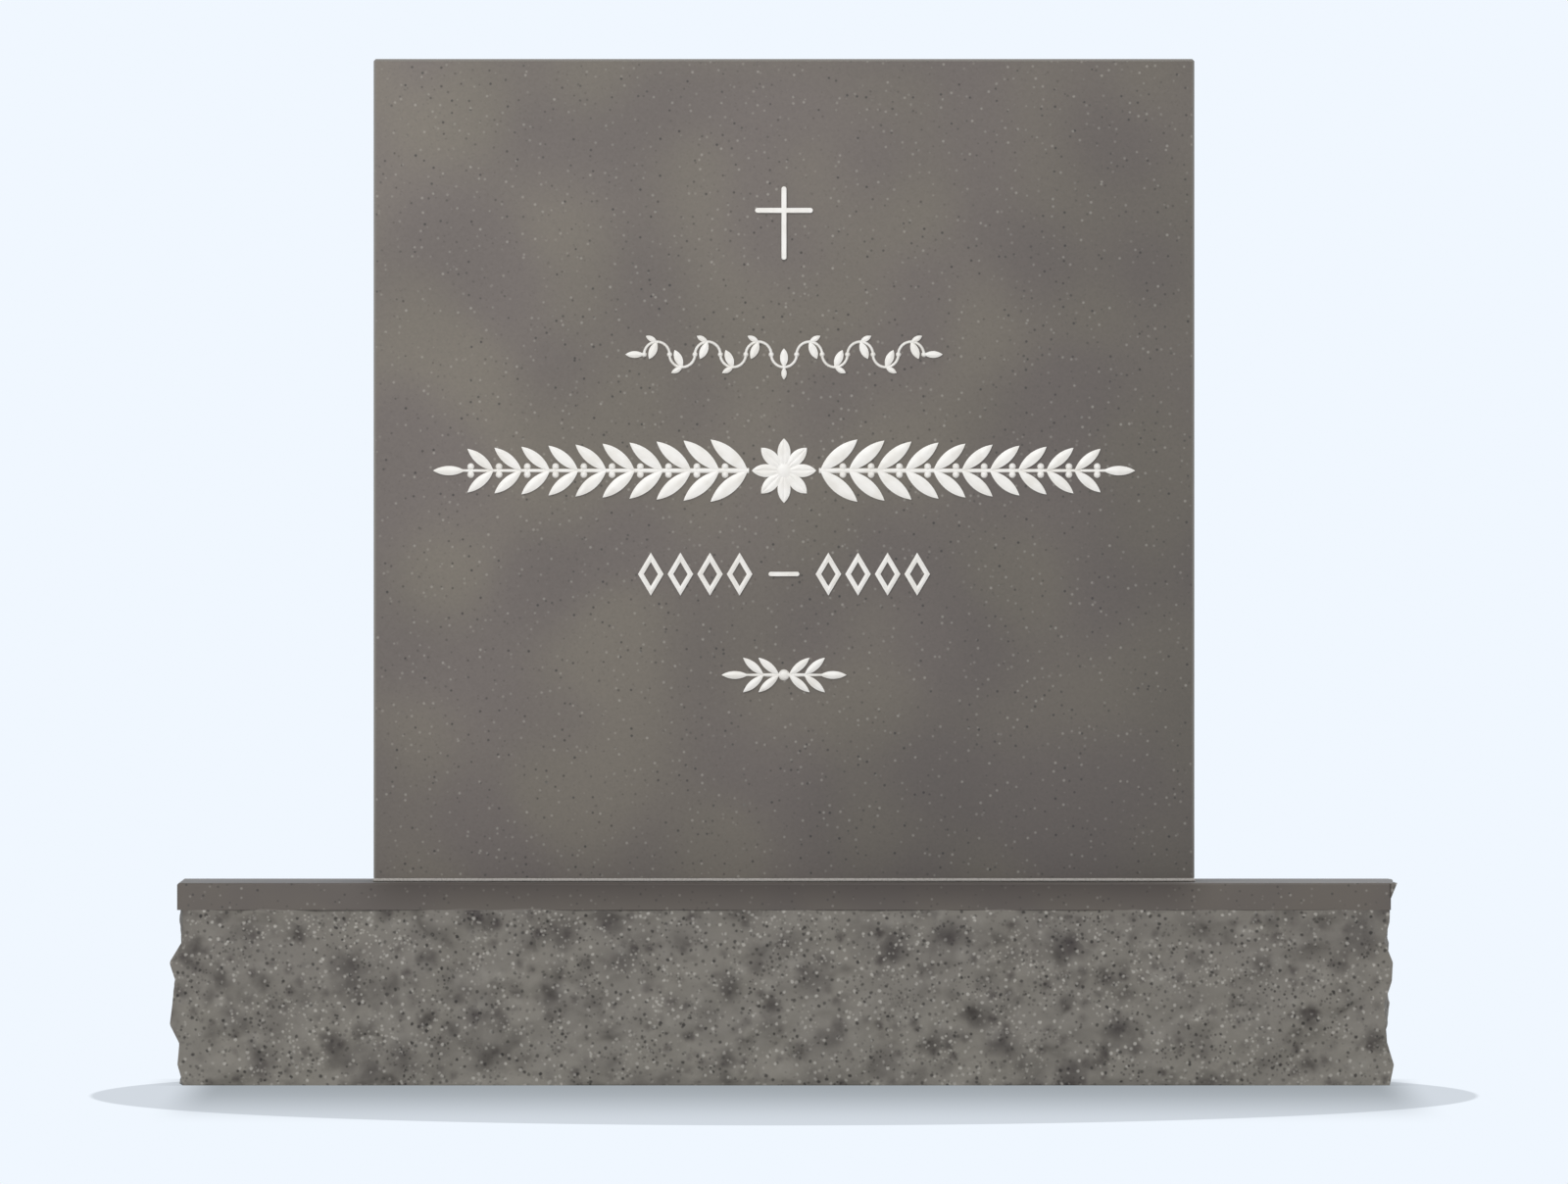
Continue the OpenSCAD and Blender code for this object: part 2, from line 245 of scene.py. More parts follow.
@dataclass(frozen=True)
class Clouds(Pattern):
    """Soft patches of uneven outline."""

    low: float = 0.4
    high: float = 0.6
    detail: float = 1.0

    def mask(self, tree: Tree) -> Socket:
        """Draw the clouds as a mask.

        Args:
            tree: Node tree that gets the nodes.

        Returns:
            A socket from 0, where there is no cloud, to 1.
        """
        heights = add_node(
            tree, "ShaderNodeTexNoise", {"Scale": 1.0, "Detail": self.detail}, {"Vector": self.place(tree)}
        )
        return ramp(tree, heights.outputs["Fac"], self.low, self.high)

    def between(self, tree: Tree, clear: str, clouded: str) -> Socket:
        """Colour that runs from one to another with the clouds.

        Args:
            tree: Node tree that gets the nodes.
            clear: Colour where there is no cloud.
            clouded: Colour in the clouds.

        Returns:
            The socket that carries the colour.
        """
        return add_node(
            tree,
            "ShaderNodeMix",
            {"data_type": "RGBA", COLOUR_A: linear(clear), COLOUR_B: linear(clouded)},
            {FACTOR: self.mask(tree)},
        ).outputs[COLOUR_OUT]


@dataclass(frozen=True)
class Flecks(Pattern):
    """Single crystals or patches that stand out from the ground of the stone.

    Its size is the distance between two of them. A face cuts each at a chance height, so
    they differ in width on it. The edge is 0 for a crisp one and 1 for a smoky one, and the
    bend is how far the outline strays from round, in sizes of the pattern. The waves are
    the bends of the outline in one size of the pattern, and the faintest flecks have that
    share of the strength. Where the flecks are gathered, they show in those clouds alone.
    """

    colour: str = "#000000"
    across_mm: float = 2.0
    strength: float = 0.5
    edge: float = 0.6
    bend: float = 0.0
    waves: float = 2.2
    faintest: float = 0.3
    gathered: Clouds | None = None

    def place(self, tree: Tree) -> Socket:
        """Coordinates in the stone, bent so that the outlines are uneven.

        Args:
            tree: Node tree that gets the nodes.

        Returns:
            The socket that carries the coordinates.
        """
        straight = super().place(tree)
        if not self.bend:
            return straight
        stray = add_node(
            tree, "ShaderNodeTexNoise", {"Scale": self.waves, "Detail": 2.0}, {"Vector": straight}
        )
        return add_node(
            tree,
            "ShaderNodeVectorMath",
            {"operation": "MULTIPLY_ADD", 1: (self.bend, self.bend, self.bend)},
            {0: stray.outputs["Color"], 2: straight},
        ).outputs["Vector"]

    def over(self, tree: Tree, ground: Socket) -> Socket:
        """Scatter the flecks over a ground colour.

        Args:
            tree: Node tree that gets the nodes.
            ground: Colour of the stone between the flecks.

        Returns:
            The socket that carries the colour with its flecks.
        """
        cells = add_node(tree, "ShaderNodeTexVoronoi", {"Scale": 1.0}, {"Vector": self.place(tree)})
        radius = self.across_mm / 2 / self.size_mm
        distance = cells.outputs["Distance"]
        inside = ramp(tree, distance, radius * (1 + self.edge / 2), radius * (1 - self.edge))
        chance = add_node(tree, "ShaderNodeSeparateColor", links={"Color": cells.outputs["Color"]})
        faintest = self.strength * self.faintest
        weight = mapped(tree, chance.outputs["Red"], first=faintest, last=self.strength)
        share = combined(tree, inside, weight)
        if self.gathered:
            share = combined(tree, share, self.gathered.mask(tree))
        return layered(tree, ground, self.colour, share)


# ---- Finishes --------------------------------------------------------------


@dataclass(frozen=True)
class Finish:
    """One material of the headstone, named for the real finish."""

    name: str = "finish"

    def material(self) -> bpy.types.Material:
        """Make the finish's material.

        Returns:
            The new material.
        """
        material = bpy.data.materials.new(self.name)
        material.use_nodes = True
        tree = material.node_tree
        tree.nodes.clear()
        add_node(tree, "ShaderNodeOutputMaterial", links={"Surface": self.surface(tree)})
        return material

    def surface(self, tree: Tree) -> Socket:
        """Build the shader. Each finish has its own."""
        raise NotImplementedError


@dataclass(frozen=True)
class PolishedGranite(Finish):
    """Grey-brown granite, sawn and polished: deep even colour and a soft gloss.

    The polish shows the stone's slow clouds from mauve-grey to olive-grey, with small light
    and dark crystals in them, and a painted shade over the whole slab that darkens it towards
    one corner. Its spreads are how far a crystal and a shade stray from the mean tone. The
    arrises are only honed: they scatter light and look paler, and their paler colour is also
    partly a painted highlight.
    """

    name: str = "granite_polished"
    mauve: str = "#6E6661"
    olive: str = "#766F65"
    # Paler colour of the honed arrises, partly the finish and partly a painted highlight
    arris: str = "#86827C"
    polished: float = 0.3
    honed: float = 0.6
    clouds: Clouds = Clouds(84, low=0.3, high=0.7, detail=0.0)
    shades: Clouds = Clouds(110, seed=4.4, low=0.28, high=0.72, detail=0.0)
    shade_spread: float = 0.07
    crystals: Pattern = Pattern(1.6)
    crystal_spread: float = 0.045
    # Colour of the painted shade that darkens the slab towards one corner
    corner_shade: str = "#332F2D"
    corner_shade_share: float = 0.46
    corner_shade_bend: float = 1.7
    corner_shade_across: float = 0.68
    flecks: tuple[Flecks, ...] = (
        Flecks(7.0, 3.1, colour="#292624", across_mm=2.2, strength=0.8),
        Flecks(6.9, 7.7, colour="#BDB9B1", across_mm=2.3, strength=0.36),
        Flecks(4.0, 15.9, colour="#46423E", across_mm=1.7, strength=0.25),
    )

    def surface(self, tree: Tree) -> Socket:
        """Build the shader.

        Args:
            tree: Node tree that gets the nodes.

        Returns:
            The socket that carries the shader.
        """
        colour = self.grained(tree, self.clouds.between(tree, self.mauve, self.olive))
        # Painted shade: the slab grows darker towards its lower corner
        colour = layered(tree, colour, self.corner_shade, self.painted_corner_shade_mask(tree))
        for flecks in self.flecks:
            colour = flecks.over(tree, colour)
        honed = self.honed_mask(tree)
        # The honed arrises are paler, partly by their finish and partly as a painted highlight
        colour = layered(tree, colour, self.arris, honed)
        roughness = mapped(tree, honed, first=self.polished, last=self.honed)
        return add_node(
            tree,
            "ShaderNodeBsdfPrincipled",
            {"IOR": 1.5},
            {"Base Color": colour, "Roughness": roughness},
        ).outputs["BSDF"]

    def grained(self, tree: Tree, ground: Socket) -> Socket:
        """Vary the ground a little from crystal to crystal and from shade to shade.

        Args:
            tree: Node tree that gets the nodes.
            ground: Colour of the ground.

        Returns:
            The socket that carries the varied colour.
        """
        cells = add_node(tree, "ShaderNodeTexVoronoi", {"Scale": 1.0}, {"Vector": self.crystals.place(tree)})
        chance = add_node(tree, "ShaderNodeSeparateColor", links={"Color": cells.outputs["Color"]})
        fine, slow = (
            mapped(tree, mask, first=1 - spread, last=1 + spread)
            for spread, mask in (
                (self.crystal_spread, chance.outputs["Red"]),
                (self.shade_spread, self.shades.mask(tree)),
            )
        )
        return add_node(
            tree, "ShaderNodeHueSaturation", links={"Color": ground, "Value": combined(tree, fine, slow)}
        ).outputs["Color"]

    def painted_corner_shade_mask(self, tree: Tree) -> Socket:
        """Painted shade over the slab, from nothing at one top corner to the other's foot.

        Args:
            tree: Node tree that gets the nodes.

        Returns:
            The socket that carries the share of the painted shade's colour.
        """
        low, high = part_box("tablet")
        start = Vector((low.x, 0, high.z))
        way = Vector((self.corner_shade_across / (high.x - low.x), 0, (self.corner_shade_across - 1) / (high.z - low.z)))
        along = add_node(
            tree, "ShaderNodeVectorMath", {"operation": "DOT_PRODUCT", 1: tuple(way)}, {0: point(tree)}
        )
        share = mapped(tree, along.outputs["Value"], start.dot(way), start.dot(way) + 1.0)
        bent = add_node(tree, "ShaderNodeMath", {"operation": "POWER", 1: self.corner_shade_bend}, {0: share})
        return mapped(tree, bent.outputs["Value"], last=self.corner_shade_share)

    @staticmethod
    def honed_mask(tree: Tree) -> Socket:
        """Mask that is 1 on the slanting arrises and 0 on faces along the three axes.

        Args:
            tree: Node tree that gets the nodes.

        Returns:
            The socket that carries the mask.
        """
        # Largest part of the unit normal of a face along an axis and of one that slants
        straight, slanting = 0.97, 0.9
        facing = add_node(tree, "ShaderNodeNewGeometry").outputs["True Normal"]
        size = add_node(tree, "ShaderNodeVectorMath", {"operation": "ABSOLUTE"}, {0: facing})
        most, *others = axes(tree, size.outputs["Vector"]).values()
        for part in others:
            most = combined(tree, most, part, "MAXIMUM")
        return mapped(tree, most, straight, slanting)


@dataclass(frozen=True)
class HonedGranite(Finish):
    """The same granite, honed but not polished: a little darker, with no clear gloss.

    It is the base's top and margin. The tablet's shadow is painted on the margin below its
    foot, darkest close under the top, and only faintly on the top itself. A painted highlight
    lies on the upper half of its arris: it is known by how far its normal rises, give or take
    the play.
    """

    name: str = "granite_honed"
    mauve: str = "#5C5550"
    olive: str = "#615A53"
    # Colour of the painted highlight on the upper half of the arris
    arris: str = "#827E78"
    highlight_rise: float = 0.92
    highlight_play: float = 0.05
    # Colour of the tablet's shadow, painted on the margin below its foot
    tablet_shadow: str = "#382F2A"
    tablet_shadow_share: float = 0.76
    low_share: float = 0.152
    top_share: float = 0.1
    tablet_shadow_top_mm: float = 1.0
    top_shadow_depths_mm: tuple[float, float] = (0.2, 0.05)
    tablet_shadow_edge_mm: float = 23.0
    clouds: Clouds = Clouds(60, seed=1.6, low=0.38, high=0.62)
    flecks: tuple[Flecks, ...] = (
        Flecks(6.6, 3.1, colour="#292624", across_mm=2.2, strength=0.75),
        Flecks(7.2, 7.7, colour="#BDB9B1", across_mm=2.2, strength=0.32),
    )

    def surface(self, tree: Tree) -> Socket:
        """Build the shader.

        Args:
            tree: Node tree that gets the nodes.

        Returns:
            The socket that carries the shader.
        """
        colour = self.clouds.between(tree, self.mauve, self.olive)
        for flecks in self.flecks:
            colour = flecks.over(tree, colour)
        # Painted shadow of the tablet below its foot
        colour = layered(tree, colour, self.tablet_shadow, self.painted_tablet_shadow_mask(tree))
        # Painted highlight on the upward-facing half of the arris
        colour = layered(tree, colour, self.arris, self.painted_highlight_mask(tree))
        return add_node(
            tree, "ShaderNodeBsdfPrincipled", {"IOR": 1.5, "Roughness": 0.55}, {"Base Color": colour}
        ).outputs["BSDF"]

    def painted_highlight_mask(self, tree: Tree) -> Socket:
        """Mask of the painted highlight: 1 on the upper half of the arris and 0 elsewhere.

        Args:
            tree: Node tree that gets the nodes.

        Returns:
            The socket that carries the mask.
        """
        facing = add_node(tree, "ShaderNodeNewGeometry").outputs["True Normal"]
        return add_node(
            tree,
            "ShaderNodeMath",
            {"operation": "COMPARE", 1: self.highlight_rise, 2: self.highlight_play},
            {0: axes(tree, facing)["Z"]},
        ).outputs["Value"]

    def painted_tablet_shadow_mask(self, tree: Tree) -> Socket:
        """Mask of the tablet's painted shadow below its foot, fading down the margin.

        Args:
            tree: Node tree that gets the nodes.

        Returns:
            The socket that carries the share of the painted shadow's colour.
        """
        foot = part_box("tablet")[1].x
        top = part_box("base")[1].z
        edge = self.tablet_shadow_edge_mm * MM
        place = axes(tree, point(tree))
        across = add_node(tree, "ShaderNodeMath", {"operation": "ABSOLUTE"}, {0: place["X"]})
        share = ramp(tree, across.outputs["Value"], foot + edge, foot - edge)
        top_shadow_full, top_shadow_faint = (top - depth * MM for depth in self.top_shadow_depths_mm)
        # Levels and the shares of the painted shadow there: down the margin, and on the top
        for start, end, first, last in (
            (top - MARGIN, top - self.tablet_shadow_top_mm * MM, self.low_share, self.tablet_shadow_share),
            (top_shadow_full, top_shadow_faint, 1.0, self.top_share),
        ):
            share = combined(tree, share, mapped(tree, place["Z"], start, end, first, last))
        return share


@dataclass(frozen=True)
class PitchedGranite(Finish):
    """The same granite broken off with a pitching tool: matt, paler and coarse.

    Broken crystals scatter light, so flecks stand out more than in the polish. Smoky dark
    patches are clusters of mica, and the pale ones are bruised feldspar. Painted light makes
    the foot a little paler, against the shade that falls there.
    """

    name: str = "granite_rock_pitched"
    ground: str = "#7B7770"
    shade: str = "#77736D"
    # Colour of the painted light that makes the foot paler
    foot_light: str = "#A5A299"
    foot_light_share: float = 0.24
    foot_light_top_mm: float = 110.0
    shades: Clouds = Clouds(55, seed=2.9, low=0.35, high=0.65)
    grain: Pattern = Pattern(4.5)
    patches: tuple[Flecks, ...] = (
        Flecks(40, 1.3, colour="#30292A", across_mm=28, strength=0.95, edge=1.0, bend=0.6),
        Flecks(25, 6.1, colour="#352F2D", across_mm=17, strength=0.85, edge=1.0, bend=0.6),
        Flecks(14, 3.7, colour="#332B2B", across_mm=8, strength=0.7, edge=1.0, bend=0.4),
        Flecks(21, 9.2, colour="#A5A29B", across_mm=13, strength=0.28, edge=1.0, bend=0.6),
    )
    flecks: tuple[Flecks, ...] = (
        Flecks(5.6, 3.1, colour="#1D1A18", across_mm=3.0, strength=0.85, bend=0.25),
        Flecks(5.9, 7.7, colour="#CDCAC3", across_mm=2.9, strength=0.54, bend=0.3),
        Flecks(3.6, 5.9, colour="#211D1B", across_mm=2.2, strength=0.8, gathered=Clouds(26, 2.2, 0.48, 0.62)),
        Flecks(3.8, 9.4, colour="#C3C0B8", across_mm=2.2, strength=0.54, gathered=Clouds(24, 6.2, 0.5, 0.64)),
    )

    def surface(self, tree: Tree) -> Socket:
        """Build the shader.

        Args:
            tree: Node tree that gets the nodes.

        Returns:
            The socket that carries the shader.
        """
        colour = self.shades.between(tree, self.ground, self.shade)
        # Painted light: paler towards the foot, against the shade there
        colour = layered(tree, colour, self.foot_light, self.painted_foot_light_mask(tree))
        for flecks in (*self.patches, *self.flecks):
            colour = flecks.over(tree, colour)
        # Broken crystals stand a fraction of a millimetre high
        grain = add_node(
            tree,
            "ShaderNodeTexNoise",
            {"Scale": 1.0, "Detail": 3.0, "Roughness": 0.6},
            {"Vector": self.grain.place(tree)},
        )
        bump = add_node(
            tree,
            "ShaderNodeBump",
            {"Strength": 0.45, "Distance": 0.8 * MM},
            {"Height": grain.outputs["Fac"]},
        )
        return add_node(
            tree,
            "ShaderNodeBsdfPrincipled",
            {"IOR": 1.5, "Roughness": 0.82},
            {"Base Color": colour, "Normal": bump.outputs["Normal"]},
        ).outputs["BSDF"]

    def painted_foot_light_mask(self, tree: Tree) -> Socket:
        """Mask of the painted light that makes the foot paler, fading out upwards.

        Args:
            tree: Node tree that gets the nodes.

        Returns:
            The socket that carries the share of the painted light's colour.
        """
        height = axes(tree, point(tree))["Z"]
        return mapped(tree, height, self.foot_light_top_mm * MM, 0.0, last=self.foot_light_share)


@dataclass(frozen=True)
class SettingCompound(Finish):
    """Butyl setting compound: pale warm grey and dull, with a faint grain from its filler.

    The real filler is finer. It is drawn as coarse as it needs to be to show.
    """

    name: str = "butyl_setting_compound"
    colour: str = "#B5B1AC"
    filler: str = "#A09C97"
    grain: Clouds = Clouds(1.5, low=0.4, high=0.7)

    def surface(self, tree: Tree) -> Socket:
        """Build the shader.

        Args:
            tree: Node tree that gets the nodes.

        Returns:
            The socket that carries the shader.
        """
        colour = self.grain.between(tree, self.colour, self.filler)
        return add_node(
            tree, "ShaderNodeBsdfPrincipled", {"Roughness": 0.75}, {"Base Color": colour}
        ).outputs["BSDF"]


@dataclass(frozen=True)
class SatinEnamel(Finish):
    """Stove enamel on cast metal: warm off-white with a satin gloss and a faint orange peel."""

    name: str = "stove_enamel_off_white"
    colour: str = "#F7F5F1"
    thin: str = "#EFECE6"
    wear: Clouds = Clouds(9.0, low=0.35, high=0.75)
    peel: Pattern = Pattern(1.2)

    def surface(self, tree: Tree) -> Socket:
        """Build the shader.

        Args:
            tree: Node tree that gets the nodes.

        Returns:
            The socket that carries the shader.
        """
        colour = self.wear.between(tree, self.colour, self.thin)
        peel = add_node(
            tree, "ShaderNodeTexNoise", {"Scale": 1.0, "Detail": 1.0}, {"Vector": self.peel.place(tree)}
        )
        normal = add_node(
            tree, "ShaderNodeBump", {"Strength": 0.15, "Distance": 0.05 * MM}, {"Height": peel.outputs["Fac"]}
        )
        return add_node(
            tree,
            "ShaderNodeBsdfPrincipled",
            {"Roughness": 0.42},
            {"Base Color": colour, "Normal": normal.outputs["Normal"]},
        ).outputs["BSDF"]


@dataclass(frozen=True)
class StainlessBar(Finish):
    """Drawn stainless steel bar: bright grey, with fine scratches that blur its gloss.

    The real scratches are finer. They are drawn as coarse as they need to be to show.
    """

    name: str = "stainless_steel_drawn"
    colour: str = "#B9BBBD"
    bright: float = 0.25
    scratched: float = 0.4
    scratches: Clouds = Clouds(0.8, low=0.3, high=0.7)

    def surface(self, tree: Tree) -> Socket:
        """Build the shader.

        Args:
            tree: Node tree that gets the nodes.

        Returns:
            The socket that carries the shader.
        """
        roughness = mapped(tree, self.scratches.mask(tree), first=self.bright, last=self.scratched)
        return add_node(
            tree,
            "ShaderNodeBsdfPrincipled",
            {"Base Color": linear(self.colour), "Metallic": 1.0},
            {"Roughness": roughness},
        ).outputs["BSDF"]


@dataclass(frozen=True)
class PadPlastic(Finish):
    """Moulded polyethylene setting pad: dark grey, dull and faintly pebbled."""

    name: str = "polyethylene_moulded"
    colour: str = "#565350"
    pebble: str = "#4C4A47"
    pebbles: Clouds = Clouds(1.0, low=0.3, high=0.7)

    def surface(self, tree: Tree) -> Socket:
        """Build the shader.

        Args:
            tree: Node tree that gets the nodes.

        Returns:
            The socket that carries the shader.
        """
        colour = self.pebbles.between(tree, self.colour, self.pebble)
        return add_node(
            tree, "ShaderNodeBsdfPrincipled", {"Roughness": 0.6}, {"Base Color": colour}
        ).outputs["BSDF"]


# ---- Mesh tools ------------------------------------------------------------


def solid_copy(node: str) -> bmesh.types.BMesh:
    """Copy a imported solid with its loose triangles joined.

    Args:
        node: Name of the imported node.

    Returns:
        A closed mesh.
    """
    bm = bmesh.new()
    bm.from_mesh(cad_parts[node].data)
    bmesh.ops.remove_doubles(bm, verts=bm.verts, dist=WELD)
    bm.normal_update()
    return bm


def make_piece(
    bm: bmesh.types.BMesh, name: str, materials: Iterable[bpy.types.Material]
) -> bpy.types.Object:
    """Turn a finished mesh into a piece of the headstone.

    Args:
        bm: The mesh, in place. It is freed.
        name: Name of the piece.
        materials: Materials in the order of the faces' material numbers.

    Returns:
        The new object.
    """
    mesh = bpy.data.meshes.new(name)
    bm.to_mesh(mesh)
    bm.free()
    for material in materials:
        mesh.materials.append(material)
    piece = bpy.data.objects.new(name, mesh)
    bpy.context.scene.collection.objects.link(piece)
    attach(piece, ROOT)
    LOG.info("%s: %d faces", name, len(mesh.polygons))
    return piece


def dress_node(node: str, material: bpy.types.Material) -> None:
    """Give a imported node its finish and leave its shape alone.

    Args:
        node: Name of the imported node.
        material: Its finish.
    """
    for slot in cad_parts[node].material_slots:
        slot.material = material
    LOG.info("%s: kept, with %s", node, material.name)


def shade_smooth(bm: bmesh.types.BMesh, crease: float) -> None:
    """Shade all faces smooth, with a sharp edge wherever two turn by more than the crease.

    Args:
        bm: The mesh.
        crease: Angle in degrees.
    """
    bm.normal_update()
    for edge in bm.edges:
        edge.smooth = edge.is_manifold and edge.calc_face_angle() < math.radians(crease)
    for face in bm.faces:
        face.smooth = True


def bridge_rings(
    bm: bmesh.types.BMesh, rings: Sequence[tuple[float, float, float]], turn: float = 0.0
) -> None:
    """Sweep a closed profile round a four-sided path.

    Args:
        bm: Mesh that gets the shape.
        rings: Width, height and level of the path at each point of the profile, in order.
        turn: Turn of the path in degrees, where 0 gives a lozenge and 45 a rectangle.
    """
    # Either path is 1 wide before it is scaled
    radius = math.sqrt(0.5) if turn else 0.5
    loops = []
    for width, height, level in rings:
        verts = bmesh.ops.create_circle(bm, cap_ends=False, segments=4, radius=radius)["verts"]
        bmesh.ops.rotate(bm, cent=(0, 0, 0), matrix=Matrix.Rotation(math.radians(turn), 3, "Z"), verts=verts)
        bmesh.ops.scale(bm, vec=(width, height, 1), verts=verts)
        bmesh.ops.translate(bm, vec=(0, 0, level), verts=verts)
        loops.append(list(dict.fromkeys(edge for vert in verts for edge in vert.link_edges)))
    for first, second in zip(loops, loops[1:] + loops[:1]):
        bmesh.ops.bridge_loops(bm, edges=first + second)
    bmesh.ops.recalc_face_normals(bm, faces=bm.faces)


def grown_from(verts: Iterable[bmesh.types.BMVert]) -> list[bmesh.types.BMVert]:
    """All points of the shapes that some points belong to.

    Args:
        verts: Points to start from. Those that a cut has removed are passed over.

    Returns:
        The points, in an order that is the same each time.
    """
    found = dict.fromkeys(vert for vert in verts if vert.is_valid)
    seeds = list(found)
    while seeds:
        others = (edge.other_vert(vert) for vert in seeds for edge in vert.link_edges)
        near = dict.fromkeys(vert for vert in others if vert not in found)
        found |= near
        seeds = list(near)
    return list(found)


def turned(x: float, y: float, degrees: float = 0.0) -> Matrix:
    """Place on a flat drawing: a turn about the origin and then a move."""
    return Matrix.Translation((x, y, 0)) @ Matrix.Rotation(math.radians(degrees), 4, "Z")


def eased(value: float, start: float = 0.0, end: float = 1.0) -> float:
    """Share from 0 at the start to 1 at the end, eased and held at both."""
    held = min(1.0, max(0.0, (value - start) / (end - start)))
    return held * held * (3 - 2 * held)


# ---- Base ------------------------------------------------------------------


@dataclass(frozen=True)
class Scoops:
    """Shell-shaped hollows left by the pitching tool, which meet at sharp ridges.

    The mean share of their depth is taken off, so that the face stays where it was on average.
    """

    pitch_mm: float
    depth_mm: float
    seed: float
    mean_share: float = 0.3

    def height(self, place: Vector) -> float:
        """Height of the broken face over its mean.

        Args:
            place: Point on the face, in metres.

        Returns:
            Height in metres: low in the middle of a hollow and high on a ridge.
        """
        cell = place / (self.pitch_mm * MM) + Vector((self.seed, self.seed * 2, self.seed * 3))
        nearest = noise.voronoi(cell)[0][0]
        return self.depth_mm * MM * (nearest * nearest - self.mean_share)


@dataclass
class PitchedBase:
    """One block: four rock-pitched faces under a smooth margin and a smooth top.

    The carving fades towards the margin and the ground, and its least share is left at the
    corners. Points that take more of it than the soft share are softened first. A warp bends
    the hollows. A face is upright or level by the part of its normal that points up.
    """

    cuts: int = 8
    softening: int = 5
    soft_share: float = 0.3
    crease: float = 60.0
    upright: float = 0.5
    level: float = 0.99
    margin_fade_mm: float = 14.0
    ground_fade_mm: float = 6.0
    corner_fade_mm: float = 30.0
    corner_share: float = 0.1
    flush_mm: float = 0.7
    flush_depths_mm: tuple[float, float] = (6.0, 3.0)
    end_hollow_mm: float = 3.4
    end_facing: tuple[float, float] = (0.5, 0.8)
    lip_drop_mm: float = 5.4
    lip_gaps_mm: tuple[float, float] = (1.0, 2.0)
    warp_mm: float = 6.0
    warp_pitch_mm: float = 30.0
    warp_seed: int = 7
    upward_share: float = 0.4
    scoops: tuple[Scoops, ...] = (
        Scoops(pitch_mm=44.0, depth_mm=5.0, seed=1.7),
        Scoops(pitch_mm=17.0, depth_mm=2.2, seed=4.3),
        Scoops(pitch_mm=6.5, depth_mm=0.8, seed=8.9),
    )

    def __post_init__(self) -> None:
        """Read the block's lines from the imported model."""
        self.low, self.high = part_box("base")
        self.pitched_top = self.high.z - MARGIN
        points = (vert.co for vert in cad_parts["base"].data.vertices)
        on_line = [place for place in points if abs(place.z - self.pitched_top) < SLACK]
        self.margin = Vector((max(place.x for place in on_line), max(place.y for place in on_line)))

    def build(self, smooth: bpy.types.Material, pitched: bpy.types.Material) -> bpy.types.Object:
        """Build the base.

        Args:
            smooth: Finish of the margin and the top.
            pitched: Finish of the rock-pitched faces.

        Returns:
            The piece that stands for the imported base.
        """
        bm = solid_copy("base")
        for vert in bm.verts:
            if self.under_lip(vert.co):
                vert.co.z -= self.lip_drop_mm * MM
        bm.normal_update()
        for face in bm.faces:
            face.material_index = 1 if self.is_pitched(face) else 0
        edges = [edge for edge in bm.edges if any(face.material_index for face in edge.link_faces)]
        bmesh.ops.subdivide_edges(bm, edges=edges, cuts=self.cuts, use_grid_fill=True)
        self.carve(bm)
        piece = make_piece(bm, "base_stone", (smooth, pitched))
        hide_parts("base")
        return piece

    def under_lip(self, place: Vector) -> bool:
        """Tell the points where the broken lip runs out into the right end's margin.

        Args:
            place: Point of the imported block, in metres.

        Returns:
            Whether it is such a point, clear of the margin's line and of the top.
        """
        over_line, under_top = (gap * MM for gap in self.lip_gaps_mm)
        level = self.pitched_top + over_line < place.z < self.high.z - under_top
        return level and place.x > self.margin.x - SLACK

    def is_pitched(self, face: bmesh.types.BMFace) -> bool:
        """Tell a broken face from the sawn ones.

        Args:
            face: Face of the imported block.

        Returns:
            Whether it lies below the margin, or on the lip that stands past the right end.
        """
        centre = face.calc_center_median()
        below_margin = SLACK < centre.z < self.pitched_top - SLACK
        on_lip = centre.x > self.margin.x + SLACK and abs(face.normal.z) < self.level
        return below_margin or on_lip

    def is_margin(self, face: bmesh.types.BMFace) -> bool:
        """Tell the upright smooth faces from the level ones and the broken ones."""
        return not face.material_index and abs(face.normal.z) < self.upright

    def carve(self, bm: bmesh.types.BMesh) -> None:
        """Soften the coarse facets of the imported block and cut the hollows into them.

        Args:
            bm: Mesh of the block, with its broken faces split finely.
        """
        # Without a seed of its own the warp would be another one at each run
        noise.seed_set(self.warp_seed)
        broken = [vert for vert in bm.verts if all(face.material_index for face in vert.link_faces)]
        free = [vert for vert in broken if self.freedom(vert.co) > self.soft_share]
        for _ in range(self.softening):
            bmesh.ops.smooth_vert(
                bm, verts=free, factor=0.5, use_axis_x=True, use_axis_y=True, use_axis_z=True
            )
        bm.normal_update()
        for vert, move in [(vert, self.move(vert)) for vert in broken]:
            ways = zip(vert.co + move, self.low, self.high)
            vert.co = Vector([min(high, max(low, place)) for place, low, high in ways])
        bm.normal_update()
        margin = {vert for face in bm.faces if self.is_margin(face) for vert in face.verts}
        for vert in bm.verts:
            if vert not in margin and any(face.material_index for face in vert.link_faces):
                vert.co.y += self.flush(vert.co)
        shade_smooth(bm, self.crease)
        for face in bm.faces:
            face.smooth = face.material_index == 1
        for edge in bm.edges:
            if len({face.material_index for face in edge.link_faces}) > 1:
                edge.smooth = False

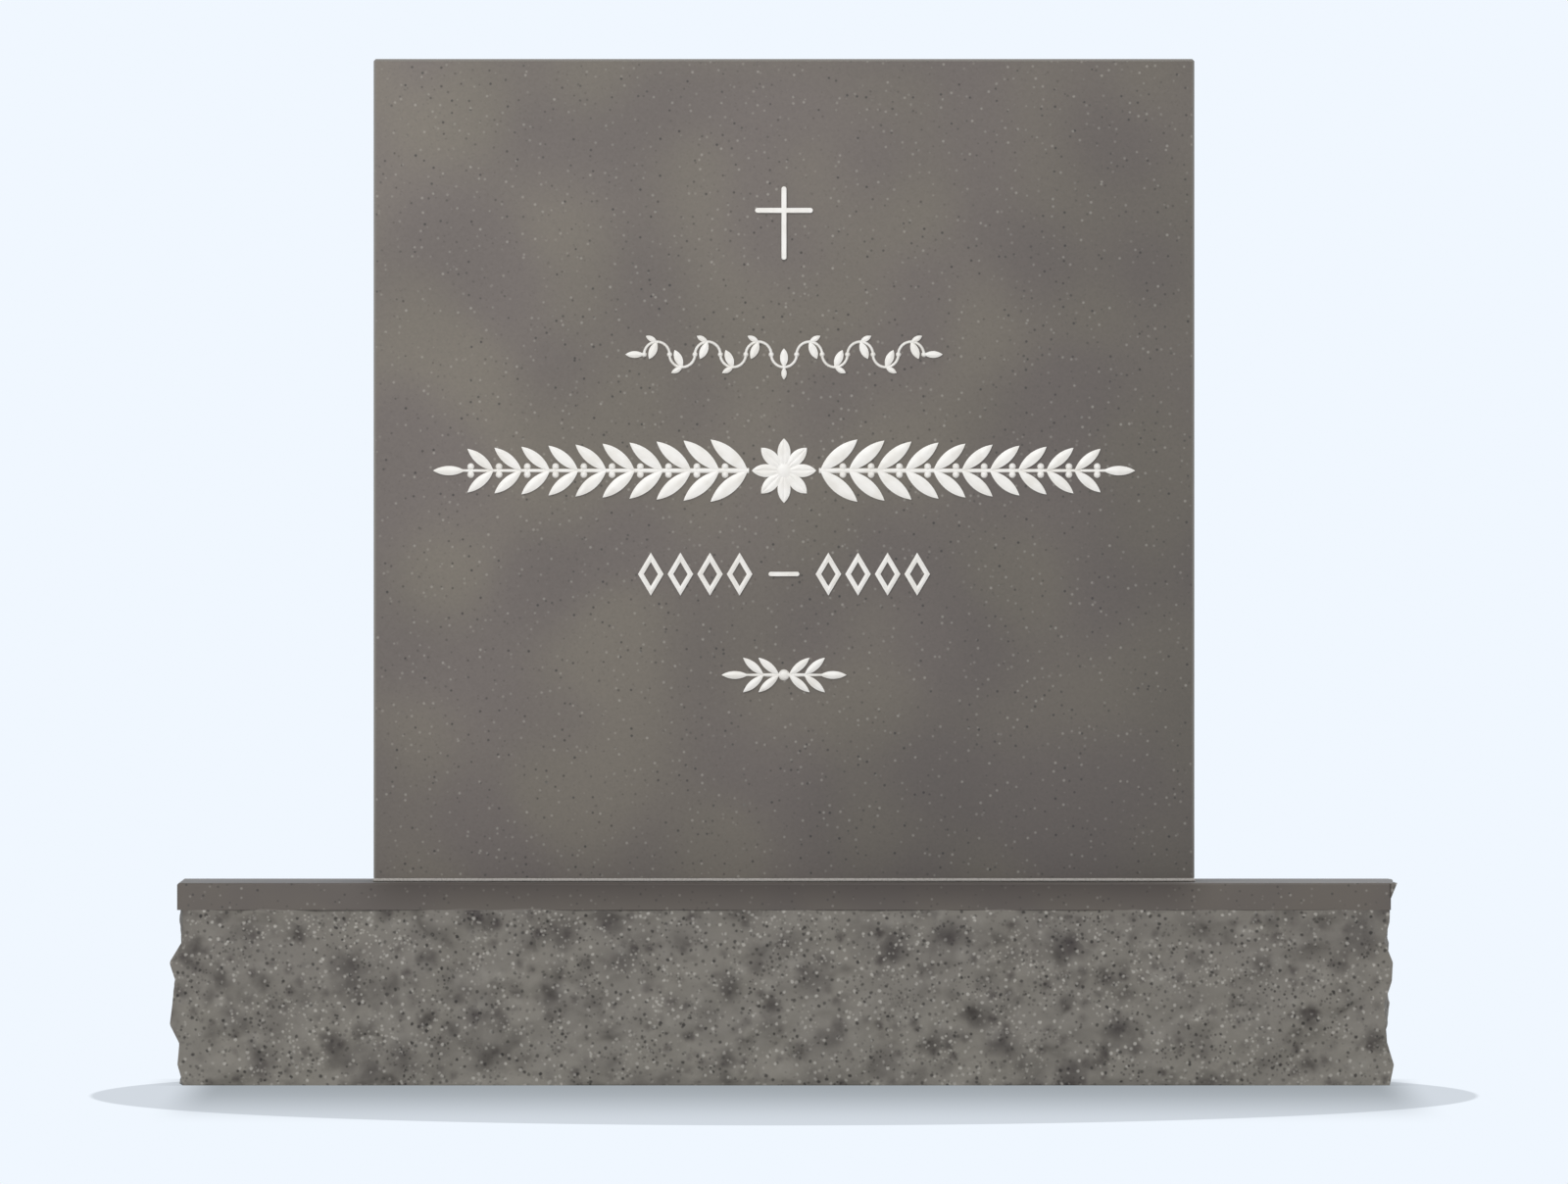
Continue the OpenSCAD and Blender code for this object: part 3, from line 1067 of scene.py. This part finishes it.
    def flush(self, place: Vector) -> float:
        """How far back or forth a point moves, so that both long faces start level with the margin.

        Args:
            place: Point on a pitched face, in metres.

        Returns:
            The way along Y, in metres.
        """
        deep, shallow = (depth * MM for depth in self.flush_depths_mm)
        near_margin = 1 - eased(self.pitched_top - place.z, end=self.margin_fade_mm * MM)
        on_face = eased(abs(place.y), self.margin.y - deep, self.margin.y - shallow)
        return math.copysign(self.flush_mm * MM * near_margin * on_face, place.y)

    def corner_distance(self, place: Vector) -> float:
        """Distance of a point from the nearest of the block's upright corners."""
        return Vector((self.margin.x - abs(place.x), self.margin.y - abs(place.y))).length

    def freedom(self, place: Vector) -> float:
        """Share of the carving that a point takes.

        The lines at the margin and the ground stay straight, and the block's corners keep
        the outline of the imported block.

        Args:
            place: Point on a pitched face, in metres.

        Returns:
            A share from 0 to 1.
        """
        below = (self.pitched_top - place.z) / (self.margin_fade_mm * MM)
        lines = min(below, place.z / (self.ground_fade_mm * MM))
        corner = eased(self.corner_distance(place), end=self.corner_fade_mm * MM)
        return eased(lines) * (self.corner_share + (1 - self.corner_share) * corner)

    def move(self, vert: bmesh.types.BMVert) -> Vector:
        """How far the carving moves a point of the face, mostly level.

        Both ends are hollowed a little between their corners, which keep the outline.

        Args:
            vert: The point.

        Returns:
            The way it goes, in metres.
        """
        warp = noise.noise_vector(vert.co / (self.warp_pitch_mm * MM)) * self.warp_mm * MM
        height = sum(scoop.height(vert.co + warp) for scoop in self.scoops)
        height -= eased(abs(vert.normal.x), *self.end_facing) * self.end_hollow_mm * MM
        way = Vector((vert.normal.x, vert.normal.y, vert.normal.z * self.upward_share)).normalized()
        return way * height * self.freedom(vert.co)


# ---- Joint -----------------------------------------------------------------


@dataclass
class JointBead:
    """Bead of compound pressed out over the tablet's lower arris, with the joint raked below it."""

    proud_mm: float = 0.6
    arris_mm: float = 1.6
    bare_share: float = 0.3

    def build(self, compound: bpy.types.Material) -> bpy.types.Object:
        """Build the bead between the bed and the tablet's lower arris.

        Args:
            compound: Finish of the compound.

        Returns:
            The new piece.
        """
        tablet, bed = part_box("tablet"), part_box("joint_bed")
        width, depth = tablet[1].x - tablet[0].x, tablet[1].y - tablet[0].y
        bed_in = (width - (bed[1].x - bed[0].x)) / 2 / MM
        joint = (bed[1].z - bed[0].z) / MM
        upper = joint + self.arris_mm * (1 - self.bare_share)
        # How far out from the tablet's faces and how high over the base, from the bed outwards
        profile = (
            (-bed_in, joint * 0.15),
            (0.0, joint * 0.2),
            (self.proud_mm * 0.75, joint * 0.4),
            (self.proud_mm, joint * 0.75),
            (self.proud_mm * 0.85, joint + self.arris_mm * 0.15),
            (self.proud_mm * 0.35, joint + self.arris_mm * 0.45),
            (-self.arris_mm * (self.bare_share - 0.05), upper + self.arris_mm * 0.04),
            (-self.arris_mm * self.bare_share, upper),
            (-bed_in, joint + self.arris_mm - bed_in),
        )
        bm = bmesh.new()
        bridge_rings(
            bm,
            [(width + 2 * out * MM, depth + 2 * out * MM, bed[0].z + up * MM) for out, up in profile],
            turn=45,
        )
        shade_smooth(bm, crease=50)
        return make_piece(bm, "joint_bead", (compound,))


# ---- Raised ornament -------------------------------------------------------


@dataclass
class Relief:
    """Raised ornament on the tablet's front, drawn flat before it is set upright.

    While it is drawn, X runs to the right and Y up on the face, in millimetres about the
    middle of the row, and Z stands out from the face. A leaf's ridge falls to the edge with
    a power of the way there. It has its full height where the leaf has the ridged share of
    its width, and a groove takes a share of the way across.
    """

    node: str
    proud_mm: float = 2.4
    edge_mm: float = 1.5
    leaf_cells: tuple[int, int] = (14, 6)
    ridge_fall: float = 1.5
    ridged_share: float = 0.77
    groove_share: float = 1 / 3
    weld_mm: float = 0.02

    def __post_init__(self) -> None:
        """Find the row's place on the face."""
        self.low, self.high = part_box(self.node)
        row = Vector((0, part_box("tablet")[0].y, (self.low.z + self.high.z) / 2))
        self.place = Matrix.Translation(row) @ Matrix.Rotation(math.radians(90), 4, "X") @ Matrix.Scale(MM, 4)

    def draw(self, bm: bmesh.types.BMesh) -> None:
        """Draw the ornament flat. Each kind of ornament has its own."""
        raise NotImplementedError

    def build(self, finish: bpy.types.Material) -> bpy.types.Object:
        """Build the piece.

        Args:
            finish: The ornament's finish.

        Returns:
            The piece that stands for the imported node.
        """
        bm = bmesh.new()
        self.draw(bm)
        bmesh.ops.transform(bm, matrix=self.place, verts=bm.verts)
        bmesh.ops.recalc_face_normals(bm, faces=bm.faces)
        shade_smooth(bm, crease=32)
        piece = make_piece(bm, self.node + "_relief", (finish,))
        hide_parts(self.node)
        return piece

    @staticmethod
    def seat(bm: bmesh.types.BMesh, place: Matrix, made: Iterable[bmesh.types.BMVert]) -> None:
        """Cut a shape off level with the face, close the cut and move it to its place.

        Args:
            bm: Mesh that holds the shape.
            place: Takes the shape from the origin to its place.
            made: Points of the shape.
        """
        verts = list(made)
        edges = dict.fromkeys(edge for vert in verts for edge in vert.link_edges)
        faces = dict.fromkeys(face for vert in verts for face in vert.link_faces)
        cut = bmesh.ops.bisect_plane(
            bm,
            geom=[*verts, *edges, *faces],
            dist=1e-5,
            plane_co=(0, 0, 0),
            plane_no=(0, 0, -1),
            clear_outer=True,
        )["geom_cut"]
        rim = [item for item in cut if isinstance(item, bmesh.types.BMVert)]
        bmesh.ops.contextual_create(bm, geom=[item for item in cut if isinstance(item, bmesh.types.BMEdge)])
        bmesh.ops.transform(bm, matrix=place, verts=grown_from([*rim, *verts]))

    def leaf(
        self, bm: bmesh.types.BMesh, place: Matrix, length: float, width: float, groove: float = 0.0
    ) -> None:
        """Add a pointed leaf with a ridge along its middle.

        Args:
            bm: Mesh that gets the leaf.
            place: Takes the leaf from the origin, where it points along X, to its place.
            length: From its root to its tip.
            width: Across its middle.
            groove: Depth of a groove that takes the place of the ridge.
        """
        cells_along, cells_across = self.leaf_cells
        made = bmesh.ops.create_grid(bm, x_segments=cells_along, y_segments=cells_across, size=0.5)["verts"]
        radius = (length * length + width * width) / (4 * width)
        slope = self.proud_mm - self.edge_mm
        for vert in made:
            along, across = vert.co.x * length, vert.co.y * 2
            half = max(0.0, math.sqrt(radius * radius - along * along) - radius + width / 2)
            rise = slope * (1 - abs(across) ** self.ridge_fall)
            rise -= groove * (1 - min(1.0, abs(across) / self.groove_share))
            full = min(1.0, 2 * half / width / self.ridged_share)
            vert.co = Vector((along + length / 2, across * half, self.edge_mm + rise * full))
        faces = list(dict.fromkeys(face for vert in made for face in vert.link_faces))
        grown = bmesh.ops.extrude_face_region(bm, geom=faces)["geom"]
        back = [item for item in grown if isinstance(item, bmesh.types.BMVert)]
        bmesh.ops.scale(bm, vec=(1, 1, 0), verts=back)
        shape = grown_from(made)
        bmesh.ops.transform(bm, matrix=place, verts=shape)
        # The points across both tips are one
        bmesh.ops.remove_doubles(bm, verts=shape, dist=self.weld_mm)

    def dome(self, bm: bmesh.types.BMesh, place: Matrix, radius: float, height: float) -> None:
        """Add a low dome, such as a berry.

        Args:
            bm: Mesh that gets the dome.
            place: Takes the dome from the origin to its place.
            radius: Its radius on the face.
            height: How far it stands out.
        """
        made = bmesh.ops.create_uvsphere(bm, u_segments=20, v_segments=12, radius=radius)["verts"]
        bmesh.ops.scale(bm, vec=(1, 1, height / radius), verts=made)
        self.seat(bm, place, made)

    def stem(
        self, bm: bmesh.types.BMesh, place: Matrix, length: float, start: float, end: float, height: float
    ) -> None:
        """Add a straight tapered stem with a rounded back, along X from the origin.

        Args:
            bm: Mesh that gets the stem.
            place: Takes the stem to its place.
            length: Its length.
            start: Its width at the origin.
            end: Its width at the far end.
            height: How far its start stands out.
        """
        made = bmesh.ops.create_cone(
            bm, cap_ends=True, segments=20, radius1=start / 2, radius2=end / 2, depth=length
        )["verts"]
        lying = Matrix.Translation((length / 2, 0, 0)) @ Matrix.Scale(2 * height / start, 4, (0, 0, 1))
        bmesh.ops.transform(bm, matrix=lying @ Matrix.Rotation(math.radians(90), 4, "Y"), verts=made)
        self.seat(bm, place, made)


@dataclass
class Spray(Relief):
    """A stem with pairs of leaves that shorten towards its tip, and a last leaf in line.

    The stem has a tail before its first leaves, ends at the tip share of the last leaf and
    stands over the leaves' edges. A berry sits beside it in each pair's pitch, as far off as
    its shares of the pitch and of its own radius say. A radius of 0 leaves the berries out.
    """

    pairs: int = 10
    first_mm: float = 36.0
    last_mm: float = 24.0
    leaf_turn: float = 40.0
    leaf_slim: float = 0.29
    stem_mm: float = 4.0
    stem_over_mm: float = 0.3
    tail_mm: float = 1.0
    tip_share: float = 0.15
    berry_mm: float = 2.6
    berry_along: float = 0.8
    berry_aside: float = 1.15

    def spray(self, bm: bmesh.types.BMesh, place: Matrix, length: float) -> None:
        """Draw one spray along X from the origin.

        Args:
            bm: Mesh that gets the spray.
            place: Takes the spray to its place.
            length: From its first leaves' root to its tip.
        """
        pitch = (length - self.last_mm) / self.pairs
        reach = self.pairs * pitch + self.last_mm * self.tip_share + self.tail_mm
        tail = place @ turned(-self.tail_mm, 0)
        self.stem(bm, tail, reach, self.stem_mm, self.stem_mm / 2, self.edge_mm + self.stem_over_mm)
        for i in range(self.pairs):
            size = self.first_mm + (self.last_mm - self.first_mm) * i / self.pairs
            for side in (-1, 1):
                root = place @ turned(i * pitch, 0, side * self.leaf_turn)
                self.leaf(bm, root, size, size * self.leaf_slim)
                if self.berry_mm:
                    aside = side * self.berry_mm * self.berry_aside
                    berry = place @ turned((i + self.berry_along) * pitch, aside)
                    self.dome(bm, berry, self.berry_mm, self.proud_mm)
        self.leaf(bm, place @ turned(self.pairs * pitch, 0), self.last_mm, self.last_mm * self.leaf_slim)


@dataclass
class LaurelBand(Spray):
    """One half of the laurel band, from the rosette to its tip near the tablet's edge."""

    side: int = 1

    def draw(self, bm: bmesh.types.BMesh) -> None:
        """Draw the laurel.

        Args:
            bm: Mesh that gets the ornament.
        """
        inner = min(abs(self.low.x), abs(self.high.x)) / MM + self.tail_mm
        outer = max(abs(self.low.x), abs(self.high.x)) / MM
        place = turned(0, 0, 0 if self.side > 0 else 180) @ turned(inner, 0)
        self.spray(bm, place, outer - inner)


@dataclass
class Sprig(Spray):
    """A bud with a short spray to each side, which starts inside the bud."""

    pairs: int = 2
    first_mm: float = 20.0
    last_mm: float = 20.0
    stem_mm: float = 3.2
    berry_mm: float = 0.0
    bud_mm: float = 4.2
    inside_mm: float = 0.5

    def draw(self, bm: bmesh.types.BMesh) -> None:
        """Draw the sprig.

        Args:
            bm: Mesh that gets the ornament.
        """
        start = self.bud_mm - self.inside_mm
        for turn in (0, 180):
            self.spray(bm, turned(0, 0, turn) @ turned(start, 0), self.high.x / MM - start)
        self.dome(bm, turned(0, 0), self.bud_mm, self.proud_mm)


@dataclass
class Rosette(Relief):
    """Eight petals, each with a groove, round a domed button.

    The petals' start and width and the button are shares of the rosette's radius.
    """

    petals: int = 8
    petal_start: float = 1 / 8
    petal_slim: float = 0.4
    button: float = 0.3
    groove_mm: float = 0.7

    def draw(self, bm: bmesh.types.BMesh) -> None:
        """Draw the rosette.

        Args:
            bm: Mesh that gets the ornament.
        """
        radius = self.high.x / MM
        for i in range(self.petals):
            place = turned(0, 0, 360 * i / self.petals) @ turned(radius * self.petal_start, 0)
            self.leaf(bm, place, radius * (1 - self.petal_start), radius * self.petal_slim, self.groove_mm)
        self.dome(bm, turned(0, 0), radius * self.button, self.proud_mm)


@dataclass
class Vine(Relief):
    """A stem that runs in half rings, with a large leaf in each hollow and a small one outside.

    The leaves lean away from the middle of the row. Their slims are widths as shares of the
    large leaf, and so is the small leaf's length. A knot covers each place where two half
    rings meet, with a radius that is a share of the stem's width.
    """

    waves: int = 11
    wave_mm: float = 9.45
    stem_mm: float = 2.2
    stem_over_mm: float = 0.4
    knot_share: float = 0.9
    leaf_mm: float = 14.0
    large_lean: float = 24.0
    large_slim: float = 0.42
    small_lean: float = 62.0
    small_slim: float = 0.28
    small_share: float = 0.66
    end_slim: float = 0.36

    def __post_init__(self) -> None:
        """Find the row's place on the face, with the stem's middle line at its origin."""
        super().__post_init__()
        # The small leaf in the middle of the row stands straight up
        above = self.wave_mm + self.leaf_mm * self.small_share
        rise = above - (self.high.z - self.low.z) / MM / 2
        self.place = self.place @ Matrix.Translation((0, rise, 0))

    def draw(self, bm: bmesh.types.BMesh) -> None:
        """Draw the vine.

        Args:
            bm: Mesh that gets the ornament.
        """
        small_mm = self.leaf_mm * self.small_share
        for i in range(self.waves):
            x = (2 * i - self.waves + 1) * self.wave_mm
            flip = Matrix.Scale(-1, 4, (0, 1, 0)) if i % 2 else Matrix.Identity(4)
            outward = (x > 0) - (x < 0)
            crest = turned(x, 0) @ flip @ turned(0, self.wave_mm)
            self.half_ring(bm, turned(x, 0) @ flip)
            inner = crest @ turned(0, 0, -90 + self.large_lean * outward)
            self.leaf(bm, inner, self.leaf_mm, self.leaf_mm * self.large_slim)
            outer = crest @ turned(0, 0, 90 - self.small_lean * outward)
            self.leaf(bm, outer, small_mm, self.leaf_mm * self.small_slim)
        for i in range(self.waves + 1):
            knot = turned((2 * i - self.waves) * self.wave_mm, 0)
            self.dome(bm, knot, self.stem_mm * self.knot_share, self.proud_mm)
        for turn in (0, 180):
            tip = turned(0, 0, turn) @ turned(self.waves * self.wave_mm, 0)
            self.leaf(bm, tip, self.leaf_mm, self.leaf_mm * self.end_slim)

    def half_ring(self, bm: bmesh.types.BMesh, place: Matrix) -> None:
        """Add the upper half of a ring with a rounded back.

        Args:
            bm: Mesh that gets the half ring.
            place: Takes it from the origin, which is its middle, to its place.
        """
        made = bmesh.ops.create_circle(bm, cap_ends=True, segments=12, radius=self.stem_mm / 2)["verts"]
        upright = Matrix.Translation((self.wave_mm, 0, 0)) @ Matrix.Rotation(math.radians(90), 4, "X")
        bmesh.ops.transform(bm, matrix=upright, verts=made)
        height = self.edge_mm + self.stem_over_mm
        bmesh.ops.scale(bm, vec=(1, 1, 2 * height / self.stem_mm), verts=made)
        faces = list(dict.fromkeys(face for vert in made for face in vert.link_faces))
        bmesh.ops.spin(
            bm, geom=faces, cent=(0, 0, 0), axis=(0, 0, 1), angle=math.radians(180), steps=24, use_merge=False
        )
        self.seat(bm, place, grown_from(made))


@dataclass
class Lozenge(Relief):
    """An open lozenge whose frame rises to a ridge, with mitred corners."""

    frame_mm: float = 3.6

    def draw(self, bm: bmesh.types.BMesh) -> None:
        """Draw the lozenge.

        Args:
            bm: Mesh that gets the ornament.
        """
        width, height = (self.high.x - self.low.x) / MM, (self.high.z - self.low.z) / MM
        reach = width * height / 2 / math.hypot(width, height)
        profile = (
            (0.0, 0.0),
            (0.0, self.edge_mm),
            (self.frame_mm / 2, self.proud_mm),
            (self.frame_mm, self.edge_mm),
            (self.frame_mm, 0.0),
        )
        shares = [(1 - inset / reach, level) for inset, level in profile]
        bridge_rings(bm, [(width * share, height * share, level) for share, level in shares])
        bmesh.ops.translate(bm, vec=((self.low.x + self.high.x) / 2 / MM, 0, 0), verts=bm.verts)


@dataclass
class FlatBars(Relief):
    """Flat bars with round ends and a fine round along their front edges.

    Edges that turn by more than the corner, in degrees, are rounded. A face whose normal
    points less to the front than the flat share is shaded smooth.
    """

    round_mm: float = 0.5
    corner: float = 30.0
    flat: float = 0.999

    def build(self, finish: bpy.types.Material) -> bpy.types.Object:
        """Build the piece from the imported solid, without the studs behind it.

        Args:
            finish: The bars' finish.

        Returns:
            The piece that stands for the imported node.
        """
        bm = solid_copy(self.node)
        bmesh.ops.bisect_plane(
            bm,
            geom=[*bm.verts, *bm.edges, *bm.faces],
            dist=1e-7,
            plane_co=(0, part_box("tablet")[0].y, 0),
            plane_no=(0, 1, 0),
            clear_outer=True,
        )
        bmesh.ops.holes_fill(bm, edges=[edge for edge in bm.edges if edge.is_boundary], sides=0)
        # The triangles of each flat face become one face
        bmesh.ops.dissolve_limit(bm, angle_limit=math.radians(1), verts=bm.verts, edges=bm.edges)
        bmesh.ops.bevel(
            bm,
            geom=[edge for edge in bm.edges if self.is_front_edge(edge)],
            offset=self.round_mm * MM,
            offset_type="OFFSET",
            segments=3,
            profile=0.5,
            affect="EDGES",
            material=-1,
            clamp_overlap=True,
        )
        bm.normal_update()
        for face in bm.faces:
            face.smooth = abs(face.normal.y) < self.flat
        piece = make_piece(bm, self.node + "_relief", (finish,))
        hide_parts(self.node)
        return piece

    def is_front_edge(self, edge: bmesh.types.BMEdge) -> bool:
        """Tell the edges round the front face from the others."""
        on_front = all(abs(vert.co.y - self.low.y) < WELD for vert in edge.verts)
        return on_front and edge.is_manifold and edge.calc_face_angle() > math.radians(self.corner)


# ---- Studio ----------------------------------------------------------------


@dataclass(frozen=True)
class Lamp:
    """Round soft lamp."""

    name: str
    place: tuple[float, float, float]
    watts: float
    size: float
    aim: tuple[float, float, float] = (0.0, 0.0, 0.4)

    def hang(self) -> None:
        """Hang the lamp, aimed at the middle of the stone."""
        light = bpy.data.lights.new(self.name, "AREA")
        light.shape = "DISK"
        light.size = self.size
        light.energy = self.watts
        lamp = bpy.data.objects.new(self.name, light)
        lamp.location = self.place
        way = Vector(self.aim) - Vector(self.place)
        lamp.rotation_euler = way.to_track_quat("-Z", "Y").to_euler()
        bpy.context.scene.collection.objects.link(lamp)


@dataclass
class Studio:
    """Pale floor and backdrop, soft light from the upper left with a fill behind, and the camera.

    The floor's shade is an oval pool, the shadow that the stone casts to its front, and the
    dark line of contact. The pool's edge gives the shares of its reach at which the shade
    starts and is full. The cast shadow is moved aside, drawn in and soft by those lengths.
    The contact is darkest where only the contact sky is left open.
    """

    backdrop: str = "#F0F7FF"
    bounce: str = "#E7E7E7"
    floor_radius: float = 30.0
    floor_gap_mm: float = 0.1
    pool: str = "#D2D9E1"
    pool_middle: float = -0.571
    pool_reach: tuple[float, float] = (0.507, 1.32)
    pool_edge: tuple[float, float] = (1.004, 0.994)
    pool_fade: float = 0.45
    cast: str = "#A2A9AF"
    cast_aside: float = 0.011
    cast_in: float = 0.01
    cast_soft: float = 0.02
    cast_reach: float = 1.7
    cast_behind: float = 0.05
    contact: str = "#7C8287"
    contact_reach: float = 0.03
    contact_sky: float = 0.4
    contact_share: float = 0.25
    daylight: str = "#FFFFFF"
    sky: float = 0.46
    lamps: tuple[Lamp, ...] = (
        Lamp("key", place=(-0.9, -3.2, 2.0), watts=60.0, size=1.2),
        Lamp("fill", place=(2.2, 2.8, 2.0), watts=46.0, size=1.8),
    )
    camera_distance: float = 30.0
    camera_height: float = 0.48
    camera_sight: float = 200.0
    aim_height: float = 0.3655
    view_width: float = 1.1655
    sensor_mm: float = 36.0

    def build(self) -> None:
        """Build the floor, the sky, the lamps and the camera."""
        self.lay_floor()
        self.light_sky()
        for lamp in self.lamps:
            lamp.hang()
        self.place_camera()
        bpy.context.scene.view_settings.view_transform = "Standard"

    @staticmethod
    def shown(tree: Tree) -> Socket:
        """Mask that is 1 for what the camera, a reflection or clear matter shows.

        Args:
            tree: Node tree that gets the nodes.

        Returns:
            The socket that carries the mask.
        """
        path = add_node(tree, "ShaderNodeLightPath")
        shown = path.outputs["Is Camera Ray"]
        for ray in ("Is Glossy Ray", "Is Transmission Ray"):
            shown = combined(tree, shown, path.outputs[ray], "MAXIMUM")
        return shown

    def lay_floor(self) -> None:
        """Lay a round floor just under the base that keeps the stone's soft shadow."""
        bm = bmesh.new()
        bmesh.ops.create_circle(bm, cap_ends=True, segments=96, radius=self.floor_radius)
        bmesh.ops.translate(bm, vec=(0, 0, -self.floor_gap_mm * MM), verts=bm.verts)
        mesh = bpy.data.meshes.new("floor")
        bm.to_mesh(mesh)
        bm.free()
        floor = bpy.data.objects.new("floor", mesh)
        bpy.context.scene.collection.objects.link(floor)
        material = bpy.data.materials.new("studio_floor")
        material.use_nodes = True
        tree = material.node_tree
        tree.nodes.clear()
        picture = add_node(tree, "ShaderNodeEmission", links={"Color": self.shadowed(tree)})
        lit = add_node(tree, "ShaderNodeBsdfDiffuse", {"Color": linear(self.bounce)})
        surface = add_node(
            tree,
            "ShaderNodeMixShader",
            links={0: self.shown(tree), 1: lit.outputs["BSDF"], 2: picture.outputs["Emission"]},
        )
        add_node(tree, "ShaderNodeOutputMaterial", links={"Surface": surface.outputs["Shader"]})
        mesh.materials.append(material)

    def shadowed(self, tree: Tree) -> Socket:
        """Colour of the floor: a pool of shade, the stone's cast shadow and its dark foot.

        Args:
            tree: Node tree that gets the nodes.

        Returns:
            The socket that carries the colour.
        """
        sky = add_node(
            tree, "ShaderNodeAmbientOcclusion", {"Distance": self.contact_reach, "samples": 16}
        ).outputs["AO"]
        hidden = mapped(tree, sky, 1.0, self.contact_sky, last=self.contact_share)
        # The first shade lies on the backdrop's colour and each other one on the one before
        below: dict[str | int, Socket] = {}
        for code, share in (
            (self.pool, self.pool_mask(tree)),
            (self.cast, self.cast_mask(tree)),
            (self.contact, hidden),
        ):
            mixed = add_node(
                tree,
                "ShaderNodeMix",
                {"data_type": "RGBA", COLOUR_A: linear(self.backdrop), COLOUR_B: linear(code)},
                {FACTOR: share, **below},
            )
            below = {COLOUR_A: mixed.outputs[COLOUR_OUT]}
        return below[COLOUR_A]

    def pool_mask(self, tree: Tree) -> Socket:
        """Mask of the oval pool of shade that the stone stands in, which fades out behind it.

        Args:
            tree: Node tree that gets the nodes.

        Returns:
            The socket that carries the mask.
        """
        across, along = self.pool_reach
        oval = add_node(
            tree,
            "ShaderNodeMapping",
            {"Location": (0, -self.pool_middle / along, 0), "Scale": (1 / across, 1 / along, 0)},
            {"Vector": point(tree)},
        )
        length = add_node(tree, "ShaderNodeVectorMath", {"operation": "LENGTH"}, {0: oval.outputs["Vector"]})
        inside = ramp(tree, length.outputs["Value"], *self.pool_edge)
        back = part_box("base")[1].y
        fading = ramp(tree, axes(tree, point(tree))["Y"], back + self.pool_fade, back)
        return combined(tree, inside, fading)

    def cast_mask(self, tree: Tree) -> Socket:
        """Mask of the shadow that the stone casts to its front, fading away from it.

        Args:
            tree: Node tree that gets the nodes.

        Returns:
            The socket that carries the mask.
        """
        low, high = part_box("base")
        left = low.x + self.cast_aside + self.cast_in
        right = high.x + self.cast_aside - self.cast_in
        place = axes(tree, point(tree))
        # Axis across each side, the place on it where the shadow starts and where it is full
        share, *others = (
            ramp(tree, place[axis], clear, full)
            for axis, clear, full in (
                ("X", left - self.cast_soft, left + self.cast_soft),
                ("X", right + self.cast_soft, right - self.cast_soft),
                ("Y", low.y - self.cast_reach, low.y),
                ("Y", high.y + self.cast_behind, low.y),
            )
        )
        for side in others:
            share = combined(tree, share, side)
        return share

    def light_sky(self) -> None:
        """Light the stone evenly from all round, and show a pale backdrop."""
        world = bpy.data.worlds.new("studio_sky")
        bpy.context.scene.world = world
        world.use_nodes = True
        tree = world.node_tree
        tree.nodes.clear()
        light = add_node(
            tree, "ShaderNodeBackground", {"Color": linear(self.daylight), "Strength": self.sky}
        )
        picture = add_node(tree, "ShaderNodeBackground", {"Color": linear(self.backdrop), "Strength": 1.0})
        surface = add_node(
            tree,
            "ShaderNodeMixShader",
            links={0: self.shown(tree), 1: light.outputs["Background"], 2: picture.outputs["Background"]},
        )
        add_node(tree, "ShaderNodeOutputWorld", links={"Surface": surface.outputs["Shader"]})

    def place_camera(self) -> None:
        """Stand the camera in front of the stone, low down and far off."""
        lens = bpy.data.cameras.new("camera")
        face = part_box("tablet")[0].y
        lens.sensor_width = self.sensor_mm
        lens.lens = self.sensor_mm * self.camera_distance / self.view_width
        lens.clip_end = self.camera_sight
        camera = bpy.data.objects.new("camera", lens)
        camera.location = (0, face - self.camera_distance, self.camera_height)
        aim = Vector((0, face, self.aim_height)) - camera.location
        camera.rotation_euler = aim.to_track_quat("-Z", "Y").to_euler()
        bpy.context.scene.collection.objects.link(camera)
        bpy.context.scene.camera = camera


def main() -> None:
    """Build and dress the headstone, then the studio round it."""
    logging.basicConfig(level=logging.INFO, format="%(name)s: %(message)s")
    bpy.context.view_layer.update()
    PitchedBase().build(HonedGranite().material(), PitchedGranite().material())
    dress_node("tablet", PolishedGranite().material())
    compound = SettingCompound().material()
    dress_node("joint_bed", compound)
    JointBead().build(compound)
    pad, bar = PadPlastic().material(), StainlessBar().material()
    for name in sorted(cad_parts):
        if name.startswith("setting_pad"):
            dress_node(name, pad)
        elif name.startswith("dowel"):
            dress_node(name, bar)
    ornaments: list[Relief] = [
        FlatBars("cross"),
        Vine("vine"),
        LaurelBand("laurel_left", side=-1),
        LaurelBand("laurel_right", side=1),
        Rosette("rosette"),
        *(Lozenge(name) for name in sorted(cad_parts) if name.startswith("lozenge")),
        FlatBars("bar"),
        Sprig("sprig"),
    ]
    enamel = SatinEnamel().material()
    for ornament in ornaments:
        ornament.build(enamel)
    Studio().build()


if __name__ == "__main__":
    main()
